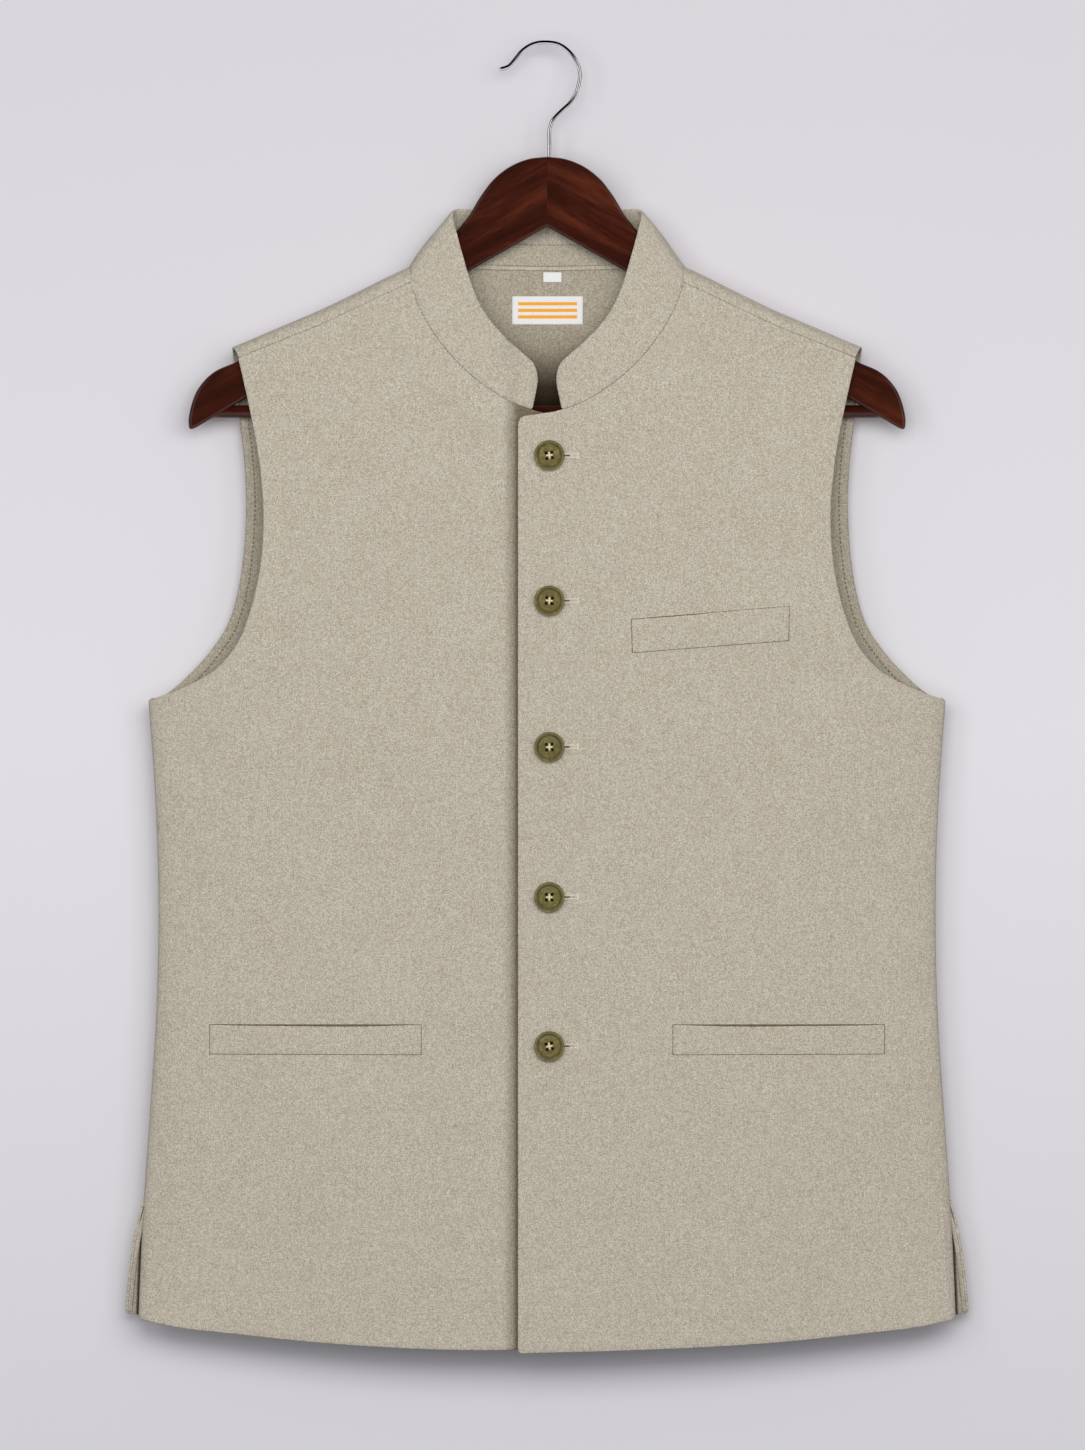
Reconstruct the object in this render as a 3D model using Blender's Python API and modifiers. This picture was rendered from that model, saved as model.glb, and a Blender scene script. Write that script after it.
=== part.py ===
"""A sleeveless stand-collar jacket hanging on a wooden hanger with a wire hook.

Frame: the origin is under the top of the hook's arc, where a rail would be, +Z up.
The front faces -Y and the wearer's left is +X.
Sizes and tables are in millimetres, and MM turns them into Blender's metres.
A panel is a grid of rows that run from its inner edge to its outer edge. A place on a
panel is given by x and z, and the depth functions give its y.
"""

import math

import bmesh
import bpy
import numpy as np
from mathutils import Matrix, Vector

MM = 0.001

# Cloth
SEAM_GAP = 0.3
NECK_SEAM_GAP = 0.36
FRONT_CLOTH = 1.8
BACK_CLOTH = 1.6
COLLAR_CLOTH = 2.2
TRIM_CLOTH = 0.9
LAID_GAP = 0.6
UNDERLAP_TUCK = 3.2
UNDERLAP_START = 22.0
UNDERLAP_END = 45.0

# Body form, as it hangs
ROLL = 10.0
FRONT_SWELL = 22.0
BACK_SWELL = 14.0
SWELL_LENGTH = 95.0
SWELL_POWER = 1.4
ROLL_FADE = 60.0
SIDE_POWER = 2.6

# Neck
NECK_HALF_WIDTH = 91.2
NECK_DEPTH = 93.0
NECK_LEVEL = -150.0
NECK_POWER = 1.6
COLLAR_START_ANGLE = 10.2
SHOULDER_SEAM_ANGLE = 82.3
BACK_NECK_LEVEL = -149.6

# Shoulder
RIDGE_CENTRE = -123.6
RIDGE_CURVE = 0.00278

# Front edges and hems
FRONT_EDGE_X = -18.7
FRONT_EDGE_TOP = -249.0
LAP_CORNER = (-16.0, -245.0)
HEM_CENTRE_OVER = -862.8
HEM_CENTRE_UNDER = -859.7
BACK_HEM_CENTRE = -851.0
UNDERARM_LEVEL = -433.0
CHEST_ROW_LEVEL = -446.0
VENT_TOP = -762.0
VENT_LENGTH = 80.0
VENT_FRONT_LIFT = 7.0
VENT_BACK_LIFT = 6.0

# (x, z) of the shoulder's highest line outside the neck
RIDGE = (
    (90.0, -146.1),
    (106.6, -154.0),
    (128.4, -164.9),
    (150.3, -175.4),
    (172.3, -184.7),
    (194.1, -194.0),
    (207.6, -199.7),
    (280.0, -230.0),
)

# (z, half width at the front's side edge, half width at the back's side edge)
SIDES = (
    (-845.0, 269.6, 278.8),
    (-815.0, 268.6, 276.3),
    (-785.0, 267.2, 272.0),
    (-762.0, 266.0, 266.6),
    (-704.0, 262.0, 262.0),
    (-638.0, 257.8, 257.8),
    (-565.0, 256.4, 256.4),
    (-499.0, 258.4, 258.4),
    (-433.0, 263.0, 263.0),
)

# (z, share of the full depth of the body form)
FULLNESS = (
    (-862.0, 1.04),
    (-740.0, 0.98),
    (-565.0, 0.92),
    (-433.0, 1.0),
    (-200.0, 1.0),
)

# (x, z) from the underarm up to the shoulder
FRONT_ARMHOLE = (
    (263.0, -433.0),
    (247.8, -427.9),
    (231.2, -420.6),
    (216.9, -411.5),
    (203.7, -395.1),
    (195.8, -375.4),
    (190.0, -352.4),
    (187.1, -329.5),
    (186.7, -306.4),
    (188.1, -286.6),
    (190.9, -265.4),
    (195.0, -244.0),
    (199.2, -224.5),
    (203.2, -207.0),
)
BACK_ARMHOLE = (
    (263.0, -433.0),
    (249.7, -428.0),
    (232.8, -413.0),
    (220.0, -398.0),
    (210.0, -382.0),
    (203.6, -360.5),
    (199.9, -336.0),
    (198.3, -309.7),
    (198.5, -290.0),
    (199.9, -270.0),
    (202.4, -249.0),
    (204.6, -224.0),
    (206.4, -208.2),
)
BACK_TIP_X = 207.6

# Rows and columns of the panels' grids
HEM_ROWS = 9
CHEST_ROWS = 5
NECK_ROWS = 10
BACK_CHEST_ROWS = 8
BACK_NECK_ROWS = 6
FOLD_ROWS = 4
COLUMNS = 12
COLLAR_ROWS = 4
HEM_BENT_ROWS = 4
SIDE_CROWDING = 1.7
NECK_SAMPLES = 200

# (x, z) of the front's hem between its centre and its side
FRONT_HEM = (
    (-20.0, -862.8),
    (61.0, -860.5),
    (150.0, -855.7),
    (206.0, -850.0),
    (250.0, -844.5),
    (269.6, -840.0),
)
# (x, z) of the back's hem between its centre and its side
BACK_HEM = ((0.0, BACK_HEM_CENTRE), (140.0, -847.0), (278.8, -837.0))
FRONT_ARMHOLE_SPLIT = -300.0
BACK_ARMHOLE_SPLIT = -290.0

# Collar: (share of the neck seam from its front end to the centre back,
#          x, y, z of the top edge there)
COLLAR_TOP = (
    (0.000, 7.3, -12.4, -227.5),
    (0.030, 9.0, -11.4, -211.5),
    (0.120, 22.5, -10.6, -198.5),
    (0.240, 37.0, -10.2, -183.5),
    (0.360, 49.0, -10.0, -162.5),
    (0.460, 56.5, -9.7, -138.5),
    (0.530, 61.0, -8.6, -122.0),
    (0.585, 63.4, -4.0, -112.5),
    (0.640, 62.0, 3.5, -109.3),
    (0.720, 51.0, 9.0, -109.3),
    (0.850, 27.0, 10.4, -110.2),
    (1.000, 0.0, 10.8, -110.6),
)
COLLAR_BULGE = 1.2
STRIP_COLUMNS = 5
STRIP_SHARES = (0.06, 0.24, 0.42)

# Armhole facings: shares of the armhole they span, rows, and distances in from its edge
FACING_SPAN = (0.02, 0.88)
FACING_ROWS = 17
FACING_COLUMNS = (0.8, 7.0, 14.0, 20.0)

# Welts: four corners (x, z), outer top, inner top, inner bottom, outer bottom
CHEST_WELT = ((159.2, -371.1), (56.1, -379.8), (56.8, -400.9), (158.7, -392.9))
POCKET_WELT = ((221.9, -647.0), (83.5, -647.0), (83.5, -665.9), (221.9, -665.5))
WELT_GRID = (10, 2)

# Buttons
BUTTON_X = 1.5
BUTTON_LEVELS = (-271.4, -367.1, -463.5, -562.5, -660.8)
BUTTON_STAND_OFF = 0.9
BUTTON_HOLE_RADIUS = 0.85
BUTTON_HOLE_SPACING = 3.8
HOLE_CUTTER_LENGTH = 8.0
# (radius, height) of the turned outline, from the centre of the back to that of the face
BUTTON_PROFILE = (
    (0.0, 0.0),
    (6.5, 0.0),
    (9.4, 0.9),
    (10.05, 1.8),
    (9.7, 2.8),
    (8.7, 3.2),
    (7.6, 2.6),
    (6.6, 2.1),
    (0.0, 2.1),
)
BUTTON_STEPS = 24

# Labels: centre x, centre z, width, height, thickness
MAIN_LABEL = (0.3, -175.3, 46.5, 18.6, 0.6)
SIZE_TAG = (3.5, -153.6, 12.0, 6.4, 0.6)
LABEL_GRID = (4, 2)

# Hanger
ARM_THICKNESS = 11.0
ARM_ROUNDING = 2.2
CROWN_TOP = -74.0
APEX = -120.3
BAR_RADIUS = 4.3
BAR_LEVEL = -242.2
BAR_HALF_LENGTH = 221.0
BORE_CLEARANCE = 0.4
BORE_SPARE = 10.0
ROD_SIDES = 16
WIRE_RADIUS = 1.65
SHANK_X = 1.5
SHANK_END = -98.0
# (x, z) of the arm's top, from the crown out to its tip and back along the underside
ARM_OUTLINE = (
    (0.0, CROWN_TOP),
    (12.0, -75.4),
    (24.0, -80.2),
    (35.0, -88.6),
    (44.0, -100.2),
    (51.5, -112.6),
    (61.0, -124.6),
    (73.0, -137.6),
    (90.0, -151.4),
    (106.6, -158.8),
    (128.4, -168.4),
    (150.3, -179.0),
    (172.3, -189.4),
    (194.1, -202.6),
    (207.5, -210.4),
    (217.7, -214.8),
    (225.3, -220.8),
    (231.7, -229.6),
    (235.6, -241.0),
    (236.6, -250.0),
    (234.2, -253.8),
    (221.5, -246.8),
    (198.0, -233.0),
)
ARM_BEAK_START = 14
ARM_TOP_POINTS = 23
ARM_BEAK_POINTS = 13

# (x, z) of the hook's wire, from the wood up and over to its tip
HOOK = (
    (1.5, SHANK_END),
    (1.5, -74.0),
    (1.5, -56.0),
    (3.9, -49.6),
    (10.2, -43.0),
    (15.6, -37.8),
    (20.0, -29.6),
    (21.6, -17.8),
    (16.9, -7.2),
    (8.6, -0.1),
    (-0.9, 1.65),
    (-9.0, 0.5),
    (-16.1, -3.7),
    (-22.0, -10.7),
    (-25.5, -14.3),
    (-30.3, -16.0),
)
HOOK_POINTS = 42

SPAN_STEPS = 12


# ---------------------------------------------------------------- curves and tables


def curve_through(points):
    """A dense smooth curve through the points, as an array with a row for each."""
    p = np.array(points, float)
    ends = np.vstack([2 * p[0] - p[1], p, 2 * p[-1] - p[-2]])
    t = np.linspace(0, 1, SPAN_STEPS, endpoint=False)[:, None]
    spans = []
    for a, b, c, d in zip(ends, ends[1:], ends[2:], ends[3:]):
        slope_in = (c - a) / 2
        slope_out = (d - b) / 2
        spans.append(
            b * (2 * t**3 - 3 * t**2 + 1)
            + slope_in * (t**3 - 2 * t**2 + t)
            + c * (-2 * t**3 + 3 * t**2)
            + slope_out * (t**3 - t**2)
        )
    return np.vstack([*spans, p[-1:]])


def at_shares(curve, shares):
    """The points at these shares of the curve's length."""
    steps = np.linalg.norm(np.diff(curve, axis=0), axis=1)
    length = np.concatenate([[0], np.cumsum(steps)])
    where = np.asarray(shares) * length[-1]
    return np.stack([np.interp(where, length, c) for c in curve.T], axis=-1)


def smooth_value(table, x, column=1):
    """The table's column at x, on a smooth curve through its rows."""
    rows = np.array(table, float)
    order = np.argsort(rows[:, 0])
    keys = rows[order, 0]
    values = rows[order, column]
    slopes = np.gradient(values, keys)
    x = np.clip(x, keys[0], keys[-1])
    i = np.clip(np.searchsorted(keys, x) - 1, 0, len(keys) - 2)
    h = keys[i + 1] - keys[i]
    t = (x - keys[i]) / h
    return (
        values[i] * (2 * t**3 - 3 * t**2 + 1)
        + slopes[i] * h * (t**3 - 2 * t**2 + t)
        + values[i + 1] * (-2 * t**3 + 3 * t**2)
        + slopes[i + 1] * h * (t**3 - t**2)
    )


# ---------------------------------------------------------------- the body form


def ridge(x):
    """Height of the shoulder's highest line, carried on smoothly across the neck."""
    a = np.abs(x)
    inside = RIDGE_CENTRE - RIDGE_CURVE * a**2
    return np.where(a < RIDGE[0][0], inside, smooth_value(RIDGE, a))


def half_width(z, is_back):
    return smooth_value(SIDES, np.minimum(z, UNDERARM_LEVEL), 2 if is_back else 1)


def roll_depth(drop):
    """Depth of the round fold over the hanger's arm, at this distance below its top."""
    below = np.clip(drop, 0, ROLL)
    return np.sqrt(ROLL**2 - (ROLL - below) ** 2)


def depth(x, z, is_back):
    """How far the cloth stands in front of, or behind, the plane of the side seams."""
    drop = ridge(x) - z
    past = np.maximum(drop - ROLL, 0)
    across = np.minimum(np.abs(x) / half_width(z, is_back), 1)
    swell = BACK_SWELL if is_back else FRONT_SWELL
    full = swell * smooth_value(FULLNESS, z) * (1 - np.exp(-((past / SWELL_LENGTH) ** SWELL_POWER)))
    body = roll_depth(drop) * np.exp(-past / ROLL_FADE)
    vent = np.clip((VENT_TOP - z) / VENT_LENGTH, 0, None) ** 2 * across**6
    lift = VENT_BACK_LIFT if is_back else VENT_FRONT_LIFT
    return SEAM_GAP / 2 + body + full * np.sqrt(1 - across**SIDE_POWER) + lift * vent


def tuck(x, is_under):
    """How far the under front steps back, where the other front lies on it."""
    if not is_under:
        return 0 * x
    t = np.clip((UNDERLAP_END - x) / (UNDERLAP_END - UNDERLAP_START), 0, 1)
    return UNDERLAP_TUCK * t * t * (3 - 2 * t)


def front_y(x, z, is_under=False):
    return tuck(x, is_under) - depth(x, z, False)


def back_y(x, z):
    return depth(x, z, True)


def lifted(y_of, x, z, lift, outwards):
    """Points on a surface y_of(x, z), moved off it by lift along its normal."""
    step = 0.5
    slope_x = (y_of(x + step, z) - y_of(x - step, z)) / (2 * step)
    slope_z = (y_of(x, z + step) - y_of(x, z - step)) / (2 * step)
    normal = np.stack([-slope_x, np.ones_like(slope_x), -slope_z], axis=-1) * outwards
    normal /= np.linalg.norm(normal, axis=-1, keepdims=True)
    return np.stack([x, y_of(x, z), z], axis=-1) + lift * normal


# ---------------------------------------------------------------- the neck seam


def front_neck(angle):
    """(x, z) on the front neck seam, from 0 degrees at the centre to 90 at the shoulder."""
    a = np.radians(angle)
    x = NECK_HALF_WIDTH * np.sin(a) ** (2 / NECK_POWER)
    z = NECK_LEVEL - NECK_DEPTH * np.cos(a) ** (2 / NECK_POWER)
    return np.stack([x, z], axis=-1)


def back_neck_level(x):
    """Height of the back neck seam, which meets the ridge at the neck's full width."""
    rise = ridge(np.array(NECK_HALF_WIDTH)) - BACK_NECK_LEVEL
    return BACK_NECK_LEVEL + rise * (np.abs(x) / NECK_HALF_WIDTH) ** NECK_POWER


def back_neck(shares):
    """(x, z) on the back neck seam, from 0 at the centre to 1 at the shoulder."""
    x = NECK_HALF_WIDTH * np.sin(np.asarray(shares) * math.pi / 2)
    return np.stack([x, back_neck_level(x)], axis=-1)


def roll_drops(to_drop, count):
    """Distances below the ridge for rows spaced evenly round the fold."""
    turn = np.linspace(0, math.pi / 2, count)
    return to_drop * (1 - np.cos(turn))


# ---------------------------------------------------------------- panels


def bands(*parts):
    """Joins the rows of each part, leaving out each later part's repeated first row."""
    return np.vstack([parts[0]] + [part[1:] for part in parts[1:]])


def edge_line(start, end, count):
    return np.linspace(start, end, count + 1)


def armhole_rows(table, split_level, lower, upper):
    """Rows up an armhole, in two bands that meet at split_level."""
    curve = curve_through(table)
    split = int(np.argmin(np.abs(curve[:, 1] - split_level)))
    first = at_shares(curve[: split + 1], np.linspace(0, 1, lower + 1))
    second = at_shares(curve[split:], np.linspace(0, 1, upper + 1))
    return first, second


def side_rows(hem_z, is_back, count):
    z = np.linspace(hem_z, UNDERARM_LEVEL, count + 1)
    return np.stack([half_width(z, is_back), z], axis=-1)


def spread(inner, outer, hem):
    """(x, z) of a grid whose rows follow the ridge's bend and, low down, the hem's."""
    share = 1 - (1 - np.linspace(0, 1, COLUMNS + 1)) ** SIDE_CROWDING
    drop_in = ridge(inner[:, 0]) - inner[:, 1]
    drop_out = ridge(outer[:, 0]) - outer[:, 1]
    x = inner[:, :1] + (outer[:, :1] - inner[:, :1]) * share
    drop = drop_in[:, None] + (drop_out - drop_in)[:, None] * share
    sag = ridge(x[0]) - smooth_value(hem, x[0]) - drop[0]
    fade = np.clip(1 - np.arange(len(x)) / HEM_BENT_ROWS, 0, 1) ** 2
    drop = drop + fade[:, None] * sag
    return x, ridge(x) - drop


def grid_normals(points):
    """Normals of a grid of points, from its own rows and columns."""
    along = np.gradient(points, axis=1)
    up = np.gradient(points, axis=0)
    normal = np.cross(along, up)
    return normal / np.linalg.norm(normal, axis=-1, keepdims=True)


def shell_mesh(name, outer, inner, open_at_centre=False):
    """A closed mesh between two grids of points, which may stay open on the plane x = 0."""
    rows, columns, _ = outer.shape
    mesh = bpy.data.meshes.new(name)
    bm = bmesh.new()
    skins = []
    for grid in (outer, inner):
        skins.append([[bm.verts.new(p * MM) for p in row] for row in grid])
    out, back = skins
    for i in range(rows - 1):
        for j in range(columns - 1):
            bm.faces.new((out[i][j], out[i][j + 1], out[i + 1][j + 1], out[i + 1][j]))
            bm.faces.new((back[i][j], back[i + 1][j], back[i + 1][j + 1], back[i][j + 1]))
    ring = [(0, j) for j in range(columns)]
    ring += [(i, columns - 1) for i in range(1, rows)]
    ring += [(rows - 1, j) for j in range(columns - 2, -1, -1)]
    ring += [(i, 0) for i in range(rows - 2, 0, -1)]
    for (i, j), (k, m) in zip(ring, ring[1:] + ring[:1]):
        at_centre = abs(outer[i, j, 0]) < 1e-6 and abs(outer[k, m, 0]) < 1e-6
        if not (open_at_centre and at_centre):
            bm.faces.new((out[k][m], out[i][j], back[i][j], back[k][m]))
    bmesh.ops.recalc_face_normals(bm, faces=bm.faces)
    bm.to_mesh(mesh)
    bm.free()
    return mesh


def add_object(name, mesh, finish):
    obj = bpy.data.objects.new(name, mesh)
    obj.data.materials.append(finish)
    bpy.data.collections["jacket"].objects.link(obj)
    return obj


def front_inner_edge(is_under):
    """(x, z) rows up the front edge and round the neck to the shoulder seam."""
    hem = HEM_CENTRE_UNDER if is_under else HEM_CENTRE_OVER
    chest = (FRONT_EDGE_X, CHEST_ROW_LEVEL)
    top = (FRONT_EDGE_X, FRONT_EDGE_TOP)
    neck = front_neck(np.linspace(COLLAR_START_ANGLE, SHOULDER_SEAM_ANGLE, NECK_ROWS + 1))
    return bands(
        edge_line((FRONT_EDGE_X, hem), chest, HEM_ROWS),
        edge_line(chest, top, CHEST_ROWS),
        edge_line(top, LAP_CORNER, 1),
        edge_line(LAP_CORNER, neck[0], 2),
        neck,
    )


def front_outer_edge(rows):
    side = side_rows(FRONT_HEM[-1][1], False, HEM_ROWS)
    lower = CHEST_ROWS + 1
    upper = rows - 1 - HEM_ROWS - lower
    return bands(side, *armhole_rows(FRONT_ARMHOLE, FRONT_ARMHOLE_SPLIT, lower, upper))


def front_grids(is_under):
    """Outer and inner grids of a front, as if it were the wearer's left one."""
    inner_edge = front_inner_edge(is_under)
    outer_edge = front_outer_edge(len(inner_edge))
    hem = ((FRONT_EDGE_X, inner_edge[0, 1]), *FRONT_HEM[1:])
    x, z = spread(inner_edge, outer_edge, hem)
    outer = np.stack([x, front_y(x, z, is_under), z], axis=-1)
    normals = grid_normals(outer)
    normals[-1] = (0, -1, 0)
    inner = outer - FRONT_CLOTH * normals
    inner[..., 1] = np.minimum(inner[..., 1], -SEAM_GAP / 2)
    return outer, inner


def front_panel(name, grids, is_under, finish):
    side = np.array([-1.0 if is_under else 1.0, 1.0, 1.0])
    return add_object(name, shell_mesh(name, grids[0] * side, grids[1] * side), finish)


def back_edges():
    """(x, z) rows of the back's inner and outer edges, up to the ridge."""
    neck = back_neck(np.linspace(0, 1, NECK_SAMPLES))
    neck_drop = ridge(neck[:, 0]) - neck[:, 1]
    fold_drops = roll_drops(ROLL, FOLD_ROWS + 1)[::-1]
    fold_x = np.interp(fold_drops, neck_drop[::-1], neck[::-1, 0])
    fold_share = 2 / math.pi * math.asin(fold_x[0] / NECK_HALF_WIDTH)
    chest = (0, CHEST_ROW_LEVEL)
    inner = bands(
        edge_line((0, BACK_HEM_CENTRE), chest, HEM_ROWS),
        edge_line(chest, (0, BACK_NECK_LEVEL), BACK_CHEST_ROWS),
        back_neck(np.linspace(0, fold_share, BACK_NECK_ROWS + 1)),
        np.stack([fold_x, ridge(fold_x) - fold_drops], axis=-1),
    )
    side = side_rows(BACK_HEM[-1][1], True, HEM_ROWS)
    rows = (BACK_CHEST_ROWS, BACK_NECK_ROWS)
    lower, upper = armhole_rows(BACK_ARMHOLE, BACK_ARMHOLE_SPLIT, *rows)
    tip_x = upper[-1, 0] + (BACK_TIP_X - upper[-1, 0]) * (1 - fold_drops / ROLL)
    fold_out = np.stack([tip_x, ridge(tip_x) - fold_drops], axis=-1)
    upper[-1] = fold_out[0]
    return inner, bands(side, lower, upper, fold_out)


def strip_over_ridge(x_ridge, front_top):
    """Rows from just past the ridge, round the fold, to the gap at the shoulder seam."""
    seam_drop = ridge(front_top[:, 0]) - front_top[:, 2] - SEAM_GAP
    turned = np.linspace(0, 1, FOLD_ROWS + 1)[1:, None]
    drop = seam_drop * (1 - np.cos(turned * math.pi / 2))
    x = x_ridge + turned * (front_top[:, 0] - x_ridge)
    return np.stack([x, -roll_depth(drop) - SEAM_GAP / 2, ridge(x) - drop], axis=-1)


def back_grids(front_top):
    """Outer and inner grids of half the back, up to the ridge and over to the front."""
    inner_edge, outer_edge = back_edges()
    x, z = spread(inner_edge, outer_edge, BACK_HEM)
    behind = np.stack([x, back_y(x, z), z], axis=-1)
    behind[-1, :, 1] = 0
    outer = np.vstack([behind, strip_over_ridge(x[-1], front_top)])
    normals = -grid_normals(outer)
    normals[-1] = (0, -1, 0)
    at_centre = outer[..., 0] < 1e-6
    normals[at_centre, 0] = 0
    inner = outer - BACK_CLOTH * normals
    hanging = np.arange(len(outer)) < len(behind) - FOLD_ROWS
    inner[hanging, :, 1] = np.maximum(inner[hanging, :, 1], SEAM_GAP / 2)
    return outer, inner


def back_panel(name, grids, finish):
    obj = add_object(name, shell_mesh(name, *grids, open_at_centre=True), finish)
    mirror = obj.modifiers.new("Mirror", "MIRROR")
    mirror.merge_threshold = 0.0001
    return obj


# ---------------------------------------------------------------- collar and trims


def neck_seam(front, back):
    """The half neck seam on the panels' own edges, and the cloth's normals along it."""
    back_rows = BACK_NECK_ROWS + 2 * FOLD_ROWS
    edges = []
    for grid_front, grid_back in zip(front, back):
        on_front = grid_front[-NECK_ROWS - 1 :, 0]
        on_back = grid_back[::-1][1 : back_rows + 1, 0]
        edges.append(np.vstack([on_front, on_back]))
    through = edges[0] - edges[1]
    return edges[0], through / np.linalg.norm(through, axis=1, keepdims=True)


def length_shares(points):
    steps = np.linalg.norm(np.diff(points, axis=0), axis=1)
    length = np.concatenate([[0], np.cumsum(steps)])
    return length / length[-1]


def collar_half(front, back, is_under):
    """Outer and inner grids of half the collar, from its front end to the centre back."""
    low, normals = neck_seam(front, back)
    shares = length_shares(low)
    top = np.stack([smooth_value(COLLAR_TOP, shares, c) for c in (1, 2, 3)], axis=-1)
    top[:, 1] += tuck(top[:, 0], is_under)
    rise = (top - low) / np.linalg.norm(top - low, axis=1, keepdims=True)
    low = low + NECK_SEAM_GAP * rise
    low[-1, 0] = 0
    height = np.linspace(0, 1, COLLAR_ROWS + 1)[:, None, None]
    outer = low + (top - low) * height
    face = grid_normals(outer)
    face *= np.sign((face * normals).sum(axis=-1, keepdims=True))
    face[:, -1, 0] = 0
    outer = outer + face * COLLAR_BULGE * np.sin(math.pi * height)
    blend = np.clip(height * COLLAR_ROWS, 0, 1)
    through = face * blend + normals * (1 - blend)
    through /= np.linalg.norm(through, axis=-1, keepdims=True)
    return outer, outer - COLLAR_CLOTH * through


def both_halves(on_left, on_right):
    """One grid from two halves that share their last column, the second one mirrored."""
    flip = np.array([-1.0, 1.0, 1.0])
    return np.concatenate([on_left[:, :-1], (on_right * flip)[:, ::-1]], axis=1)


def collar(name, left, right, finish):
    outer = both_halves(left[0], right[0])
    inner = both_halves(left[1], right[1])
    return add_object(name, shell_mesh(name, outer, inner), finish)


def collar_inner_strip(name, half, finish):
    """The strip stitched inside the back of the collar, just above the neck seam."""
    outer, inner = (grid[:, -STRIP_COLUMNS:] for grid in half)
    through = (outer - inner) / COLLAR_CLOTH
    rows = []
    for share in STRIP_SHARES:
        at = share * COLLAR_ROWS
        i = int(at)
        point = inner[i] + (inner[i + 1] - inner[i]) * (at - i)
        out = through[i] + (through[i + 1] - through[i]) * (at - i)
        rows.append((point - out * LAID_GAP, point - out * (LAID_GAP + TRIM_CLOTH)))
    near = np.stack([row[0] for row in rows])
    far = np.stack([row[1] for row in rows])
    return add_object(name, shell_mesh(name, both_halves(near, near), both_halves(far, far)), finish)


def patch(corners, columns, rows):
    """(x, z) grids over four corners: outer top, inner top, inner bottom, outer bottom."""
    a, b, c, d = (np.array(p, float) for p in corners)
    s = np.linspace(0, 1, columns + 1)[None, :, None]
    t = np.linspace(0, 1, rows + 1)[:, None, None]
    grid = (1 - t) * ((1 - s) * c + s * d) + t * ((1 - s) * b + s * a)
    return grid[..., 0], grid[..., 1]


def welt(name, corners, is_under, finish):
    x, z = patch(corners, *WELT_GRID)

    def surface(px, pz):
        return front_y(px, pz, is_under)

    side = np.array([-1.0 if is_under else 1.0, 1.0, 1.0])
    under = lifted(surface, x, z, LAID_GAP, -1) * side
    over = lifted(surface, x, z, LAID_GAP + TRIM_CLOTH, -1) * side
    return add_object(name, shell_mesh(name, over, under), finish)


def inside_back(x, z, lift):
    return lifted(back_y, x, z, -(BACK_CLOTH + lift), 1)


def label(name, size, finish):
    x, z, width, height, thickness = size
    half_w = width / 2
    half_h = height / 2
    corners = (
        (x + half_w, z + half_h),
        (x - half_w, z + half_h),
        (x - half_w, z - half_h),
        (x + half_w, z - half_h),
    )
    xs, zs = patch(corners, *LABEL_GRID)
    near = inside_back(xs, zs, LAID_GAP)
    far = inside_back(xs, zs, LAID_GAP + thickness)
    return add_object(name, shell_mesh(name, near, far), finish)


def armhole_facing(name, side, finish):
    """A strip inside the back, along its armhole edge."""
    curve = curve_through(BACK_ARMHOLE[1:])
    edge = at_shares(curve, np.linspace(*FACING_SPAN, FACING_ROWS))
    along = np.gradient(edge, axis=0)
    along /= np.linalg.norm(along, axis=1, keepdims=True)
    inwards = np.stack([-along[:, 1], along[:, 0]], axis=-1)
    across = np.array(FACING_COLUMNS)
    grid = edge[:, None] + inwards[:, None] * across[None, :, None]
    x = grid[..., 0]
    z = grid[..., 1]
    flip = np.array([float(side), 1.0, 1.0])
    near = inside_back(x, z, LAID_GAP) * flip
    far = inside_back(x, z, LAID_GAP + TRIM_CLOTH) * flip
    return add_object(name, shell_mesh(name, near, far), finish)


# ---------------------------------------------------------------- buttons


def button_hole_cutters():
    """One cutter for the four thread holes, along the button's own axis."""
    bm = bmesh.new()
    half = BUTTON_HOLE_SPACING / 2
    for dx in (-half, half):
        for dy in (-half, half):
            place = Matrix.Translation(Vector((dx, dy, 1.5)) * MM)
            bmesh.ops.create_cone(
                bm,
                cap_ends=True,
                segments=8,
                radius1=BUTTON_HOLE_RADIUS * MM,
                radius2=BUTTON_HOLE_RADIUS * MM,
                depth=HOLE_CUTTER_LENGTH * MM,
                matrix=place,
            )
    mesh = bpy.data.meshes.new("button_holes")
    bm.to_mesh(mesh)
    bm.free()
    return add_cutter("button_holes", mesh)


def add_cutter(name, mesh):
    obj = bpy.data.objects.new(name, mesh)
    obj.hide_render = True
    obj.display_type = "WIRE"
    bpy.data.collections["cutters"].objects.link(obj)
    return obj


def cut(obj, cutter):
    boolean = obj.modifiers.new("Cut", "BOOLEAN")
    boolean.operation = "DIFFERENCE"
    boolean.object = cutter


def button_mesh():
    """The turned outline of a button, with its back on z = 0."""
    mesh = bpy.data.meshes.new("button")
    rows = [(r * MM, 0.0, h * MM) for r, h in BUTTON_PROFILE[::-1]]
    edges = [(i, i + 1) for i in range(len(rows) - 1)]
    mesh.from_pydata(rows, edges, [])
    return mesh


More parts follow.
